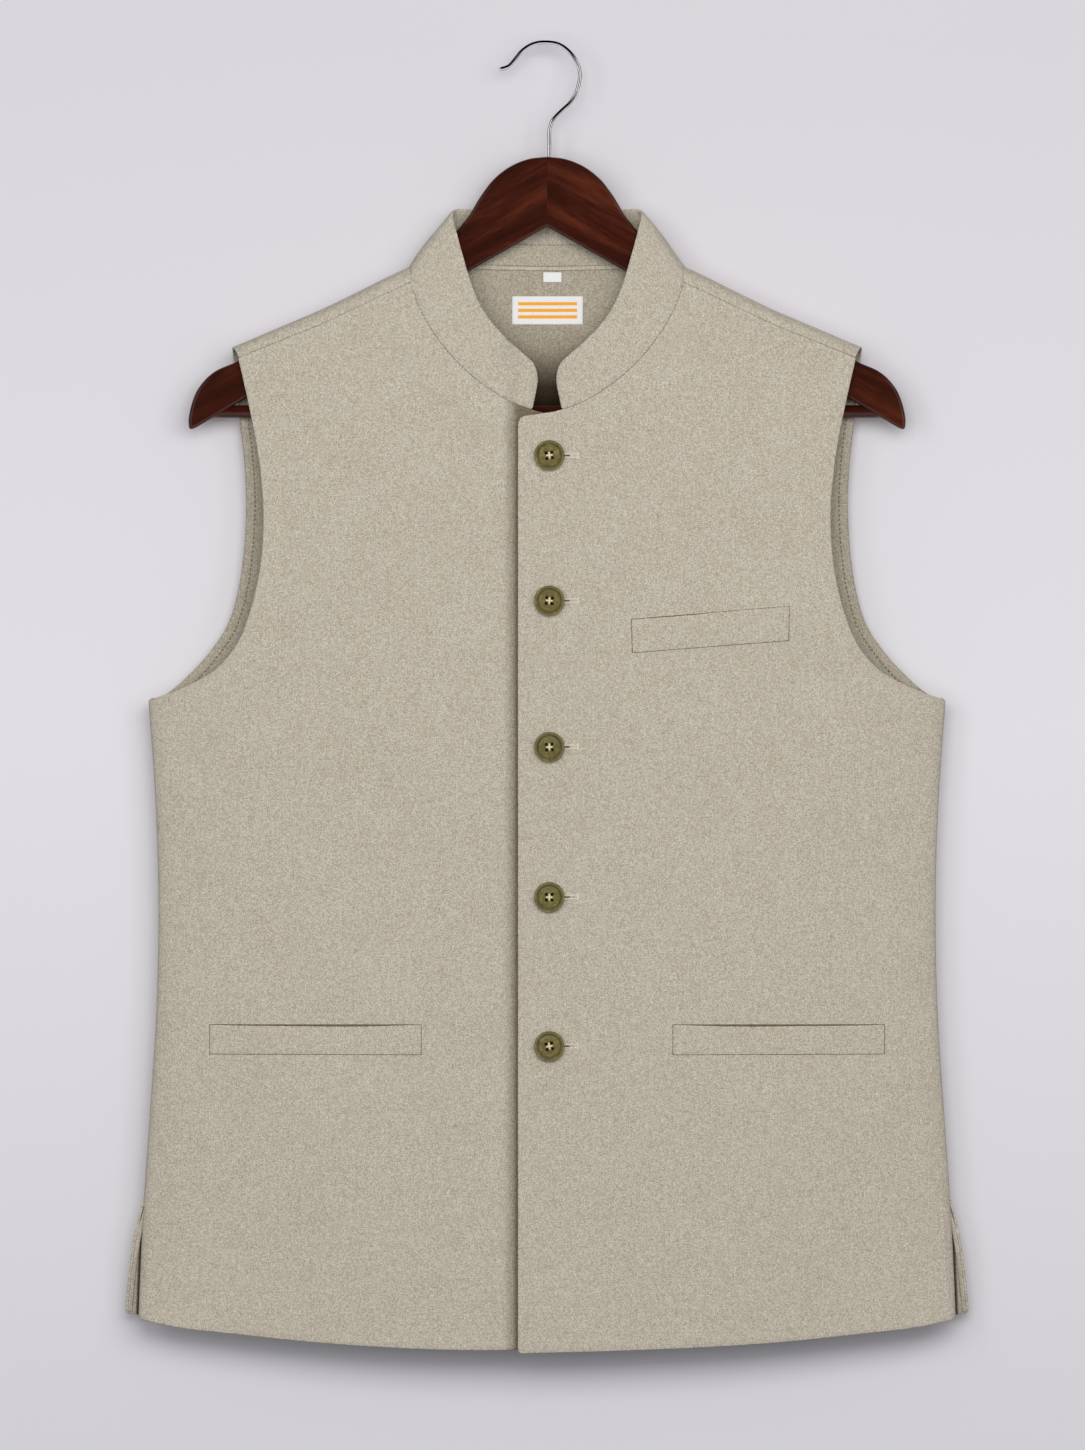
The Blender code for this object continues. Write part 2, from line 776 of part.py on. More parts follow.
def button(name, level, holes, finish):
    obj = add_object(name, button_mesh(), finish)
    spin = obj.modifiers.new("Turn", "SCREW")
    spin.steps = BUTTON_STEPS
    spin.render_steps = BUTTON_STEPS
    spin.use_merge_vertices = True
    spin.merge_threshold = 0.0001
    x = np.array(BUTTON_X)
    z = np.array(level)
    base = lifted(front_y, x, z, BUTTON_STAND_OFF, -1)
    facing = Vector(lifted(front_y, x, z, 1.0, -1) - lifted(front_y, x, z, 0.0, -1))
    turn = facing.to_track_quat("Z", "X").to_matrix().to_4x4()
    obj.matrix_world = Matrix.Translation(Vector(base) * MM) @ turn
    cutter = add_cutter(name + "_holes", holes.data)
    cutter.matrix_world = obj.matrix_world
    cut(obj, cutter)
    return obj


# ---------------------------------------------------------------- hanger


def tube(name, points, radius, finish, resolution):
    """A round wire or rod along the points, with filled ends."""
    curve = bpy.data.curves.new(name, "CURVE")
    curve.dimensions = "3D"
    curve.bevel_depth = radius * MM
    curve.bevel_resolution = resolution
    curve.use_fill_caps = True
    spline = curve.splines.new("POLY")
    spline.points.add(len(points) - 1)
    for point, place in zip(spline.points, points):
        point.co = (*(Vector(place) * MM), 1.0)
    obj = bpy.data.objects.new(name, curve)
    curve.materials.append(finish)
    bpy.data.collections["jacket"].objects.link(obj)
    return obj


def rod_cutter(name, start, end, radius):
    bm = bmesh.new()
    middle = (Vector(start) + Vector(end)) / 2
    along = Vector(end) - Vector(start)
    turn = along.to_track_quat("Z", "Y").to_matrix().to_4x4()
    bmesh.ops.create_cone(
        bm,
        cap_ends=True,
        segments=ROD_SIDES,
        radius1=radius * MM,
        radius2=radius * MM,
        depth=along.length * MM,
        matrix=Matrix.Translation(middle * MM) @ turn,
    )
    mesh = bpy.data.meshes.new(name)
    bm.to_mesh(mesh)
    bm.free()
    return add_cutter(name, mesh)


def arm_outline():
    """(x, z) round the arm: its top and tip as smooth runs, its underside straight."""
    top_curve = curve_through(ARM_OUTLINE[: ARM_BEAK_START + 1])
    beak_curve = curve_through(ARM_OUTLINE[ARM_BEAK_START:-1])
    top = at_shares(top_curve, np.linspace(0, 1, ARM_TOP_POINTS))
    beak = at_shares(beak_curve, np.linspace(0, 1, ARM_BEAK_POINTS))[1:]
    under = np.array([ARM_OUTLINE[-1], (0.0, APEX)])
    outline = np.vstack([top, beak, under])
    outline[:, 0] = np.maximum(outline[:, 0], SEAM_GAP / 2)
    return outline


def hanger_arm(name, side, cutters, finish):
    curve = bpy.data.curves.new(name, "CURVE")
    curve.dimensions = "2D"
    curve.fill_mode = "BOTH"
    curve.extrude = (ARM_THICKNESS / 2 - ARM_ROUNDING) * MM
    curve.bevel_depth = ARM_ROUNDING * MM
    curve.bevel_resolution = 2
    curve.offset = -ARM_ROUNDING * MM
    spline = curve.splines.new("POLY")
    outline = arm_outline()
    spline.points.add(len(outline) - 1)
    for point, (x, z) in zip(spline.points, outline):
        point.co = (side * x * MM, z * MM, 0, 1)
    spline.use_cyclic_u = True
    flat = bpy.data.objects.new(name + "_outline", curve)
    bpy.data.collections["cutters"].objects.link(flat)
    graph = bpy.context.evaluated_depsgraph_get()
    mesh = bpy.data.meshes.new_from_object(flat.evaluated_get(graph))
    bpy.data.objects.remove(flat)
    bm = bmesh.new()
    bm.from_mesh(mesh)
    bmesh.ops.remove_doubles(bm, verts=bm.verts, dist=0.00001)
    bmesh.ops.recalc_face_normals(bm, faces=bm.faces)
    bm.to_mesh(mesh)
    bm.free()
    mesh.transform(Matrix.Rotation(math.pi / 2, 4, "X"))
    mesh.materials.clear()
    obj = add_object(name, mesh, finish)
    for cutter in cutters:
        cut(obj, cutter)
    return obj


def hanger(wood, chrome):
    reach = BAR_HALF_LENGTH + SEAM_GAP
    bore = rod_cutter(
        "bar_bore",
        (-reach, 0, BAR_LEVEL),
        (reach, 0, BAR_LEVEL),
        BAR_RADIUS + BORE_CLEARANCE,
    )
    hole = rod_cutter(
        "shank_bore",
        (SHANK_X, 0, SHANK_END - SEAM_GAP),
        (SHANK_X, 0, CROWN_TOP + BORE_SPARE),
        WIRE_RADIUS + BORE_CLEARANCE,
    )
    hanger_arm("hanger_arm_left", 1, (bore, hole), wood)
    hanger_arm("hanger_arm_right", -1, (bore, hole), wood)
    ends = [(-BAR_HALF_LENGTH, 0, BAR_LEVEL), (BAR_HALF_LENGTH, 0, BAR_LEVEL)]
    tube("trouser_bar", ends, BAR_RADIUS, wood, 3)
    shank = [(x, 0, z) for x, z in HOOK[:3]]
    bend = at_shares(curve_through(HOOK[2:]), np.linspace(0, 1, HOOK_POINTS))[1:]
    tube("hook", shank + [(x, 0, z) for x, z in bend], WIRE_RADIUS, chrome, 2)


# ---------------------------------------------------------------- assembly


def finish(name, colour, roughness, metallic=0.0):
    material = bpy.data.materials.new(name)
    material.use_nodes = True
    shader = material.node_tree.nodes["Principled BSDF"]
    shader.inputs["Base Color"].default_value = (*colour, 1)
    shader.inputs["Roughness"].default_value = roughness
    shader.inputs["Metallic"].default_value = metallic
    return material


def clear_scene():
    for obj in list(bpy.data.objects):
        bpy.data.objects.remove(obj)


def main():
    clear_scene()
    for name in ("jacket", "cutters"):
        bpy.context.scene.collection.children.link(bpy.data.collections.new(name))
    bpy.data.collections["cutters"].hide_render = True
    suiting = finish("suiting", (0.49, 0.44, 0.36), 0.9)
    facing = finish("suiting_inside", (0.42, 0.37, 0.29), 0.9)
    resin = finish("button_resin", (0.22, 0.19, 0.07), 0.35)
    woven = finish("label_white", (0.8, 0.8, 0.78), 0.7)
    wood = finish("hanger_wood", (0.045, 0.008, 0.003), 0.25)
    chrome = finish("hook_chrome", (0.6, 0.6, 0.62), 0.15, 1.0)
    left = front_grids(False)
    right = front_grids(True)
    back = back_grids(left[0][-1])
    collar_left = collar_half(left, back, False)
    collar_right = collar_half(right, back, True)
    front_panel("front_left", left, False, suiting)
    front_panel("front_right", right, True, suiting)
    back_panel("back", back, suiting)
    collar("collar", collar_left, collar_right, suiting)
    collar_inner_strip("collar_inner_strip", collar_left, facing)
    armhole_facing("armhole_facing_left", 1, facing)
    armhole_facing("armhole_facing_right", -1, facing)
    welt("chest_welt", CHEST_WELT, False, suiting)
    welt("pocket_welt_left", POCKET_WELT, False, suiting)
    welt("pocket_welt_right", POCKET_WELT, True, suiting)
    holes = button_hole_cutters()
    for number, level in enumerate(BUTTON_LEVELS, 1):
        button(f"button_{number}", level, holes, resin)
    label("main_label", MAIN_LABEL, woven)
    label("size_tag", SIZE_TAG, woven)
    hanger(wood, chrome)


main()
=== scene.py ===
"""The looks of a sleeveless stand-collar jacket on a wooden hanger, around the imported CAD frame.

The cloth pieces are thin shells on the same body form as their CAD solids, on finer grids,
with soft creases, rounded edges, stitches and a woven finish. Sizes are in millimetres, and
MM turns them into metres. The front faces -Y and the wearer's left is +X.
"""

import math

import bmesh
import bpy
import numpy as np
from mathutils import Matrix, Vector


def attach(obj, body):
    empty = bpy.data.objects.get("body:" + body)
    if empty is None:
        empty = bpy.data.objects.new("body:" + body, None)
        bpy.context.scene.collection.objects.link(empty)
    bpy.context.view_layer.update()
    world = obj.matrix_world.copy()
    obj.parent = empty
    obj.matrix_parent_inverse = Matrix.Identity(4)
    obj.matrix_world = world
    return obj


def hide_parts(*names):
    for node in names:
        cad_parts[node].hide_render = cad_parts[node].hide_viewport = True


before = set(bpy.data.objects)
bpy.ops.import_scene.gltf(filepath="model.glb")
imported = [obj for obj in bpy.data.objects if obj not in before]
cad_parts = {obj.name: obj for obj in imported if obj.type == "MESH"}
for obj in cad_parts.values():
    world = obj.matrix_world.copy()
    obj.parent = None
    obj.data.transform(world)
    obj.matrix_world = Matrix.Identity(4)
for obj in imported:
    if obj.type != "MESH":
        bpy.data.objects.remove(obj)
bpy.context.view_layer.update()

MM = 0.001

# Cloth
FRONT_CLOTH = 1.8
BACK_CLOTH = 1.6
COLLAR_CLOTH = 2.2
TRIM_CLOTH = 0.9
WELT_CLOTH = 0.7
LAID_GAP = 0.15
SEAM_GAP = 0.12
SEAM_GROOVE = 0.9
FREE_EDGE = 0.55
SEWN_EDGE = 0.42
UNDERLAP_TUCK = 5.0
UNDERLAP_START = 20.0
UNDERLAP_END = 29.5

# Body form, as it hangs
ROLL = 10.0
FRONT_SWELL = 22.0
BACK_SWELL = 14.0
SWELL_LENGTH = 95.0
SWELL_POWER = 1.4
ROLL_FADE = 60.0
SIDE_POWER = 2.6

# Neck
NECK_HALF_WIDTH = 91.2
NECK_DEPTH = 93.0
NECK_LEVEL = -150.0
NECK_POWER = 1.6
COLLAR_START_ANGLE = 10.2
SHOULDER_SEAM_ANGLE = 82.3
BACK_NECK_LEVEL = -149.6

# Shoulder
RIDGE_CENTRE = -123.6
RIDGE_CURVE = 0.00278

# Front edges and hems
FRONT_EDGE_X = -18.7
HEM_CENTRE_OVER = -862.8
HEM_CENTRE_UNDER = -859.7
BACK_HEM_CENTRE = -851.0
UNDERARM_LEVEL = -433.0
# Lowest level at which the back's inside takes the darker copy of the cloth that is painted shade
INSIDE_LOWEST = -0.44
CHEST_ROW_LEVEL = -446.0
VENT_TOP = -762.0
VENT_LENGTH = 80.0
VENT_FRONT_LIFT = 7.0
VENT_BACK_LIFT = 6.0
VENT_HEM_END = -835.5
VENT_HEM_SPAN = (0.7, 3.2)
HEM_CORNER = 2.6

# (x, z) of the front's top edge from its own edge to the collar's end
LAP_TOP = (
    (-18.7, -252.0), (-18.5, -249.4), (-17.4, -247.0), (-15.0, -245.7), (-10.0, -244.9),
    (0.0, -243.5), (6.0, -242.4),
)
UNDERLAP_TOP = (
    (-18.7, -254.0), (-18.4, -250.6), (-16.9, -248.0), (-14.0, -246.6), (-9.0, -245.6),
    (0.0, -244.0), (6.0, -242.6),
)

# (x, z) of the shoulder's highest line outside the neck
RIDGE = (
    (90.0, -146.1), (106.6, -154.0), (128.4, -164.9), (150.3, -175.4), (172.3, -184.7),
    (194.1, -194.0), (207.6, -199.7), (280.0, -230.0),
)

# (z, half width at the front's side edge, half width at the back's side edge)
SIDES = (
    (-845.0, 269.6, 278.8), (-815.0, 268.6, 276.3), (-785.0, 267.2, 272.0),
    (-762.0, 266.0, 266.6), (-704.0, 262.0, 262.0), (-638.0, 257.8, 257.8),
    (-565.0, 256.4, 256.4), (-499.0, 258.4, 258.4), (-433.0, 263.0, 263.0),
)

# (z, share of the full depth of the body form)
FULLNESS = (
    (-862.0, 1.04), (-740.0, 0.98), (-565.0, 0.92), (-433.0, 1.0), (-200.0, 1.0),
)

# (x, z) from the underarm up to the shoulder
FRONT_ARMHOLE = (
    (263.0, -433.0), (247.8, -427.9), (231.2, -420.6), (216.9, -411.5), (203.7, -395.1),
    (195.8, -375.4), (190.0, -352.4), (187.1, -329.5), (186.7, -306.4), (188.1, -286.6),
    (190.9, -265.4), (195.0, -244.0), (199.2, -224.5), (203.2, -207.0),
)
BACK_ARMHOLE = (
    (263.0, -433.0), (249.7, -428.0), (232.8, -413.0), (220.0, -398.0), (210.0, -382.0),
    (203.6, -360.5), (199.9, -336.0), (198.3, -309.7), (198.5, -290.0), (199.9, -270.0),
    (202.4, -249.0), (204.6, -224.0), (206.4, -208.2),
)
BACK_TIP_X = 207.6

# (x, z) of the front's hem between its centre and its side
FRONT_HEM = (
    (-20.0, -862.8), (61.0, -860.5), (150.0, -855.7), (206.0, -850.0), (250.0, -844.5),
    (269.6, -840.0),
)
BACK_HEM = ((0.0, -851.0), (140.0, -847.0), (278.8, -837.0))

# Rows and columns of the panels' grids
HEM_ROWS = 150
CHEST_ROWS = 66
LAP_ROWS = 12
NECK_ROWS = 50
BACK_CHEST_ROWS = 96
BACK_NECK_ROWS = 34
FOLD_ROWS = 12
FRONT_COLUMNS = 96
BACK_COLUMNS = 56
COLLAR_ROWS = 14
HEM_BENT_ROWS = 60
SIDE_CROWDING = 1.5
EDGE_SHARES = (0.0, 0.0009, 0.0021, 0.0036, 0.0054, 0.0076, 0.0105, 0.0145, 0.02)
FRONT_SPLIT = -335.0
BACK_SPLIT = -290.0

# Collar: (share of the neck seam from its front end to the centre back,
#          x, y, z of the top edge there)
COLLAR_TOP = (
    (0.000, 6.4, -12.4, -221.5), (0.008, 6.9, -12.0, -217.0), (0.022, 8.6, -11.6, -211.8),
    (0.050, 13.2, -11.2, -206.8), (0.100, 20.6, -10.8, -200.2), (0.170, 29.0, -10.4, -192.4),
    (0.240, 37.0, -10.2, -183.6), (0.300, 43.4, -10.1, -174.4), (0.360, 48.9, -10.0, -162.8),
    (0.460, 56.5, -9.7, -138.5), (0.530, 61.0, -8.6, -122.0), (0.585, 63.4, -4.0, -112.5),
    (0.640, 62.0, 3.5, -109.3), (0.720, 51.0, 9.0, -109.3), (0.850, 27.0, 10.4, -110.2),
    (1.000, 0.0, 10.8, -110.6),
)
COLLAR_BULGE = 1.2
STRIP_SHARES = (0.04, 0.42)
STRIP_FROM = 0.79

# Welts: four corners (x, z), outer top, inner top, inner bottom, outer bottom
CHEST_WELT = ((159.2, -371.1), (56.1, -379.8), (56.8, -400.9), (158.7, -392.9))
POCKET_WELT = ((221.9, -647.0), (83.5, -647.0), (83.5, -665.9), (221.9, -665.5))
POCKET_SAG = 1.2
CHEST_SAG = 0.25
# How far the sheet of painted shade under a welt reaches past it, as a dark seam line
WELT_SHADE_MARGIN = 0.75

# Buttons and buttonholes
BUTTON_X = 1.5
BUTTON_LEVELS = (-271.4, -367.1, -463.5, -562.5, -660.8)
BUTTON_STAND_OFF = 0.9
BUTTON_HOLE_RADIUS = 0.95
BUTTON_HOLE_SPACING = 3.8
# (radius, height) of the turned outline, from the face's centre out and round to the back
BUTTON_PROFILE = (
    (0.0, 1.95), (3.6, 1.95), (5.6, 2.0), (6.5, 2.12), (6.95, 2.2), (7.15, 1.95), (7.35, 1.35),
    (7.75, 1.3), (8.0, 1.7), (8.35, 2.75), (8.8, 3.1), (9.2, 3.12), (9.6, 2.85), (9.95, 2.3),
    (10.05, 1.7), (9.8, 1.1), (9.2, 0.6), (7.5, 0.1), (5.0, 0.0), (0.0, 0.0),
)
BUTTON_STEPS = 96
SHANK_RADIUS = 3.6
TOPSTITCH = {"pitch": 3.9, "length": 1.5, "radius": 0.42, "sink": 0.4}
BUTTONHOLE_END = 19.8
BUTTONHOLE_SLIT = 15.0
BUTTONHOLE_LIPS = 10.5
BUTTONHOLE_START = -3.0

# Labels: centre x, centre z, width, height
MAIN_LABEL = (0.3, -175.3, 46.5, 18.6)
SIZE_TAG = (3.5, -153.4, 12.0, 6.4)
LABEL_CLOTH = 0.35

# Hanger
ARM_THICKNESS = 11.0
ARM_ROUNDING = 2.2
CROWN_TOP = -74.0
APEX = -120.3
BAR_RADIUS = 4.3
BAR_LEVEL = -242.2
BAR_HALF_LENGTH = 221.0
BORE_CLEARANCE = 0.1
SHANK_CLEARANCE = 0.15
MITRE_GAP = 0.06
MITRE_SPARE = 8.0
WIRE_RADIUS = 1.65
SHANK_X = 1.5
SHANK_END = -98.0
# (x, z) of the arm's top, from the crown out to its tip and back along the underside
ARM_OUTLINE = (
    (0.0, CROWN_TOP), (12.0, -75.4), (24.0, -80.2), (35.0, -88.6), (44.0, -100.2), (51.5, -112.6),
    (61.0, -124.6), (73.0, -137.6), (90.0, -151.4), (106.6, -158.8), (128.4, -168.4),
    (150.3, -179.0), (172.3, -189.4), (194.1, -202.6), (207.5, -210.4), (217.7, -214.8),
    (225.3, -220.8), (231.7, -229.6), (235.6, -241.0), (236.6, -250.0), (234.2, -253.8),
    (221.5, -246.8), (198.0, -233.0),
)
ARM_BEAK_START = 14
# (x, z) of the hook's wire, from the wood up and over to its tip
HOOK = (
    (1.5, SHANK_END), (1.5, -74.0), (1.5, -56.0), (3.9, -49.6), (10.2, -43.0), (15.6, -37.8),
    (20.0, -29.6), (21.6, -17.8), (16.9, -7.2), (8.6, -0.1), (-0.9, 1.65), (-9.0, 0.5),
    (-16.1, -3.7), (-22.0, -10.7), (-25.5, -14.3), (-30.3, -16.0),
)
SPAN_STEPS = 24

# Soft troughs (negative height) and ridges: x, z, angle from +X in degrees, length, width, height
FRONT_FOLDS = (
    (-23.0, -258.0, 90.0, 24.0, 7.0, -0.9), (34.0, -262.0, 32.0, 60.0, 13.0, 0.55),
    (58.0, -262.0, 34.0, 74.0, 16.0, -0.45), (176.0, -420.0, 150.0, 120.0, 26.0, -0.9),
    (206.0, -455.0, 142.0, 96.0, 20.0, 0.7), (150.0, -300.0, 106.0, 150.0, 34.0, -0.7),
    (120.0, -245.0, 64.0, 110.0, 28.0, 0.6), (108.0, -520.0, 84.0, 210.0, 46.0, -0.8),
    (176.0, -590.0, 96.0, 180.0, 36.0, 0.7), (60.0, -610.0, 92.0, 170.0, 34.0, 0.5),
    (205.0, -745.0, 98.0, 170.0, 30.0, -1.2), (148.0, -770.0, 88.0, 200.0, 38.0, 1.1),
    (70.0, -760.0, 86.0, 190.0, 40.0, -0.9), (-168.0, -318.0, 74.0, 150.0, 32.0, -0.8),
    (-118.0, -262.0, 118.0, 120.0, 30.0, 0.6), (-196.0, -450.0, 38.0, 110.0, 24.0, -0.9),
    (-150.0, -470.0, 52.0, 120.0, 28.0, 0.6), (-60.0, -400.0, 8.0, 120.0, 22.0, 0.4),
    (-110.0, -560.0, 92.0, 220.0, 44.0, -0.8), (-188.0, -610.0, 84.0, 190.0, 36.0, 0.6),
    (-214.0, -755.0, 80.0, 160.0, 28.0, -1.1), (-150.0, -760.0, 94.0, 200.0, 40.0, 1.0),
    (-78.0, -770.0, 90.0, 190.0, 42.0, -0.8),
)
BACK_FOLDS = (
    (0.0, -190.0, 0.0, 150.0, 24.0, -1.4), (112.0, -240.0, 128.0, 140.0, 26.0, -1.8),
    (-104.0, -250.0, 50.0, 150.0, 28.0, -2.0), (150.0, -330.0, 104.0, 180.0, 34.0, 1.8),
    (-160.0, -340.0, 78.0, 170.0, 34.0, 1.6), (210.0, -460.0, 138.0, 110.0, 24.0, -1.8),
    (-204.0, -470.0, 44.0, 120.0, 24.0, -2.0), (62.0, -520.0, 92.0, 300.0, 46.0, -2.2),
    (-70.0, -560.0, 87.0, 280.0, 44.0, -1.8), (0.0, -600.0, 90.0, 300.0, 40.0, 1.8),
    (140.0, -700.0, 86.0, 240.0, 44.0, 2.3), (-146.0, -720.0, 95.0, 240.0, 44.0, 2.2),
    (205.0, -760.0, 96.0, 170.0, 30.0, -2.3), (-212.0, -750.0, 84.0, 170.0, 30.0, -2.2),
)


# ---------------------------------------------------------------- curves and tables


def curve_through(points):
    """A dense smooth curve through the points, as an array with a row for each."""
    p = np.array(points, float)
    ends = np.vstack([2 * p[0] - p[1], p, 2 * p[-1] - p[-2]])
    t = np.linspace(0, 1, SPAN_STEPS, endpoint=False)[:, None]
    spans = []
    for a, b, c, d in zip(ends, ends[1:], ends[2:], ends[3:]):
        slope_in = (c - a) / 2
        slope_out = (d - b) / 2
        spans.append(
            b * (2 * t**3 - 3 * t**2 + 1)
            + slope_in * (t**3 - 2 * t**2 + t)
            + c * (-2 * t**3 + 3 * t**2)
            + slope_out * (t**3 - t**2)
        )
    return np.vstack([*spans, p[-1:]])


def length_shares(points):
    steps = np.linalg.norm(np.diff(points, axis=0), axis=1)
    length = np.concatenate([[0], np.cumsum(steps)])
    return length / length[-1]


def at_shares(curve, shares):
    """The points at these shares of the curve's length."""
    where = length_shares(curve)
    return np.stack([np.interp(shares, where, c) for c in curve.T], axis=-1)


def smooth_value(table, x, column=1):
    """The table's column at x, on a smooth curve through its rows."""
    rows = np.array(table, float)
    order = np.argsort(rows[:, 0])
    keys = rows[order, 0]
    values = rows[order, column]
    slopes = np.gradient(values, keys)
    x = np.clip(x, keys[0], keys[-1])
    i = np.clip(np.searchsorted(keys, x) - 1, 0, len(keys) - 2)
    h = keys[i + 1] - keys[i]
    t = (x - keys[i]) / h
    return (
        values[i] * (2 * t**3 - 3 * t**2 + 1)
        + slopes[i] * h * (t**3 - 2 * t**2 + t)
        + values[i + 1] * (-2 * t**3 + 3 * t**2)
        + slopes[i + 1] * h * (t**3 - t**2)
    )


def unit(vectors):
    return vectors / np.maximum(np.linalg.norm(vectors, axis=-1, keepdims=True), 1e-9)


# ---------------------------------------------------------------- the body form


def ridge(x):
    """Height of the shoulder's highest line, carried on smoothly across the neck."""
    a = np.abs(x)
    inside = RIDGE_CENTRE - RIDGE_CURVE * a**2
    return np.where(a < RIDGE[0][0], inside, smooth_value(RIDGE, a))


def half_width(z, is_back):
    return smooth_value(SIDES, np.minimum(z, UNDERARM_LEVEL), 2 if is_back else 1)


def roll_depth(drop):
    """Depth of the round fold over the hanger's arm, at this distance below its top."""
    below = np.clip(drop, 0, ROLL)
    return np.sqrt(ROLL**2 - (ROLL - below) ** 2)


def folds(table, x, z):
    """Height of the soft troughs and ridges at a place on the cloth."""
    height = np.zeros_like(x)
    for fx, fz, angle, length, width, rise in table:
        c = math.cos(math.radians(angle))
        s = math.sin(math.radians(angle))
        along = (x - fx) * c + (z - fz) * s
        bend = 0.06 * along**2 / length
        across = (z - fz) * c - (x - fx) * s + bend
        height += rise * np.exp(-((2.2 * along / length) ** 4) - (across / (0.5 * width)) ** 2)
    return height


def ripple(x, z, is_back):
    """The faint unevenness of pressed cloth, all over."""
    turn = 1.7 if is_back else 0.0
    waves = (
        (0.30, 0.021, 0.013, 0.4 + turn),
        (0.22, -0.033, 0.019, 2.1 + turn),
        (0.16, 0.052, -0.027, 4.0 - turn),
        (0.10, 0.071, 0.066, 1.2 + turn),
    )
    return sum(a * np.sin(kx * x + kz * z + p) for a, kx, kz, p in waves)


def depth(x, z, is_back, side):
    """How far the cloth stands in front of, or behind, the plane of the side seams."""
    drop = ridge(x) - z
    past = np.maximum(drop - ROLL, 0)
    across = np.minimum(np.abs(x) / half_width(z, is_back), 1)
    swell = BACK_SWELL if is_back else FRONT_SWELL
    full = swell * smooth_value(FULLNESS, z) * (1 - np.exp(-((past / SWELL_LENGTH) ** SWELL_POWER)))
    body = roll_depth(drop) * np.exp(-past / ROLL_FADE)
    vent = np.clip((VENT_TOP - z) / VENT_LENGTH, 0, None) ** 2 * across**6
    lift = VENT_BACK_LIFT if is_back else VENT_FRONT_LIFT
    calm = (1 - across**8) * (1 - np.exp(-past / 12))
    real_x = side * x
    uneven = folds(BACK_FOLDS if is_back else FRONT_FOLDS, real_x, z) + ripple(real_x, z, is_back)
    round_off = np.sqrt(1 - across**SIDE_POWER)
    return SEAM_GAP / 2 + body + full * round_off + lift * vent + calm * uneven


def tuck(x, is_under):
    """How far the under front steps back, where the other front lies on it."""
    if not is_under:
        return 0 * x
    t = np.clip((UNDERLAP_END - x) / (UNDERLAP_END - UNDERLAP_START), 0, 1)
    return UNDERLAP_TUCK * t * t * (3 - 2 * t)


def front_y(x, z, is_under=False):
    side = -1 if is_under else 1
    return tuck(x, is_under) - depth(x, z, False, side)


def back_y(x, z, side=1):
    return depth(x, z, True, side)


def lifted(y_of, x, z, lift, outwards):
    """Points on a surface y_of(x, z), moved off it by lift along its normal."""
    step = 0.5
    slope_x = (y_of(x + step, z) - y_of(x - step, z)) / (2 * step)
    slope_z = (y_of(x, z + step) - y_of(x, z - step)) / (2 * step)
    normal = np.stack([-slope_x, np.ones_like(slope_x), -slope_z], axis=-1) * outwards
    return np.stack([x, y_of(x, z), z], axis=-1) + lift * unit(normal)


def inside_back(x, z, lift):
    return lifted(back_y, x, z, -(BACK_CLOTH + lift), 1)


# ---------------------------------------------------------------- the neck seam


def front_neck(angle):
    """(x, z) on the front neck seam, from 0 degrees at the centre to 90 at the shoulder."""
    a = np.radians(angle)
    x = NECK_HALF_WIDTH * np.sin(a) ** (2 / NECK_POWER)
    z = NECK_LEVEL - NECK_DEPTH * np.cos(a) ** (2 / NECK_POWER)
    return np.stack([x, z], axis=-1)


def back_neck(shares):
    """(x, z) on the back neck seam, from 0 at the centre to 1 at the shoulder."""
    x = NECK_HALF_WIDTH * np.sin(np.asarray(shares) * math.pi / 2)
    rise = ridge(np.array(NECK_HALF_WIDTH)) - BACK_NECK_LEVEL
    return np.stack([x, BACK_NECK_LEVEL + rise * (x / NECK_HALF_WIDTH) ** NECK_POWER], axis=-1)


def roll_drops(to_drop, count):
    """Distances below the ridge for rows spaced evenly round the fold."""
    return to_drop * (1 - np.cos(np.linspace(0, math.pi / 2, count)))


# ---------------------------------------------------------------- meshes


def grid_normals(points):
    along = np.gradient(points, axis=1)
    up = np.gradient(points, axis=0)
    return unit(np.cross(along, up))


def ring_of(rows, columns, open_at_centre, outer):
    """The grid's border as (row, column) pairs, and which of its links get a rim."""
    ring = [(0, j) for j in range(columns)]
    ring += [(i, columns - 1) for i in range(1, rows)]
    ring += [(rows - 1, j) for j in range(columns - 2, -1, -1)]
    ring += [(i, 0) for i in range(rows - 2, 0, -1)]
    links = []
    for k, (a, b) in enumerate(zip(ring, ring[1:] + ring[:1])):
        at_centre = abs(outer[a][0]) < 1e-6 and abs(outer[b][0]) < 1e-6
        if not (open_at_centre and at_centre):
            links.append((k, (k + 1) % len(ring)))
    return ring, links


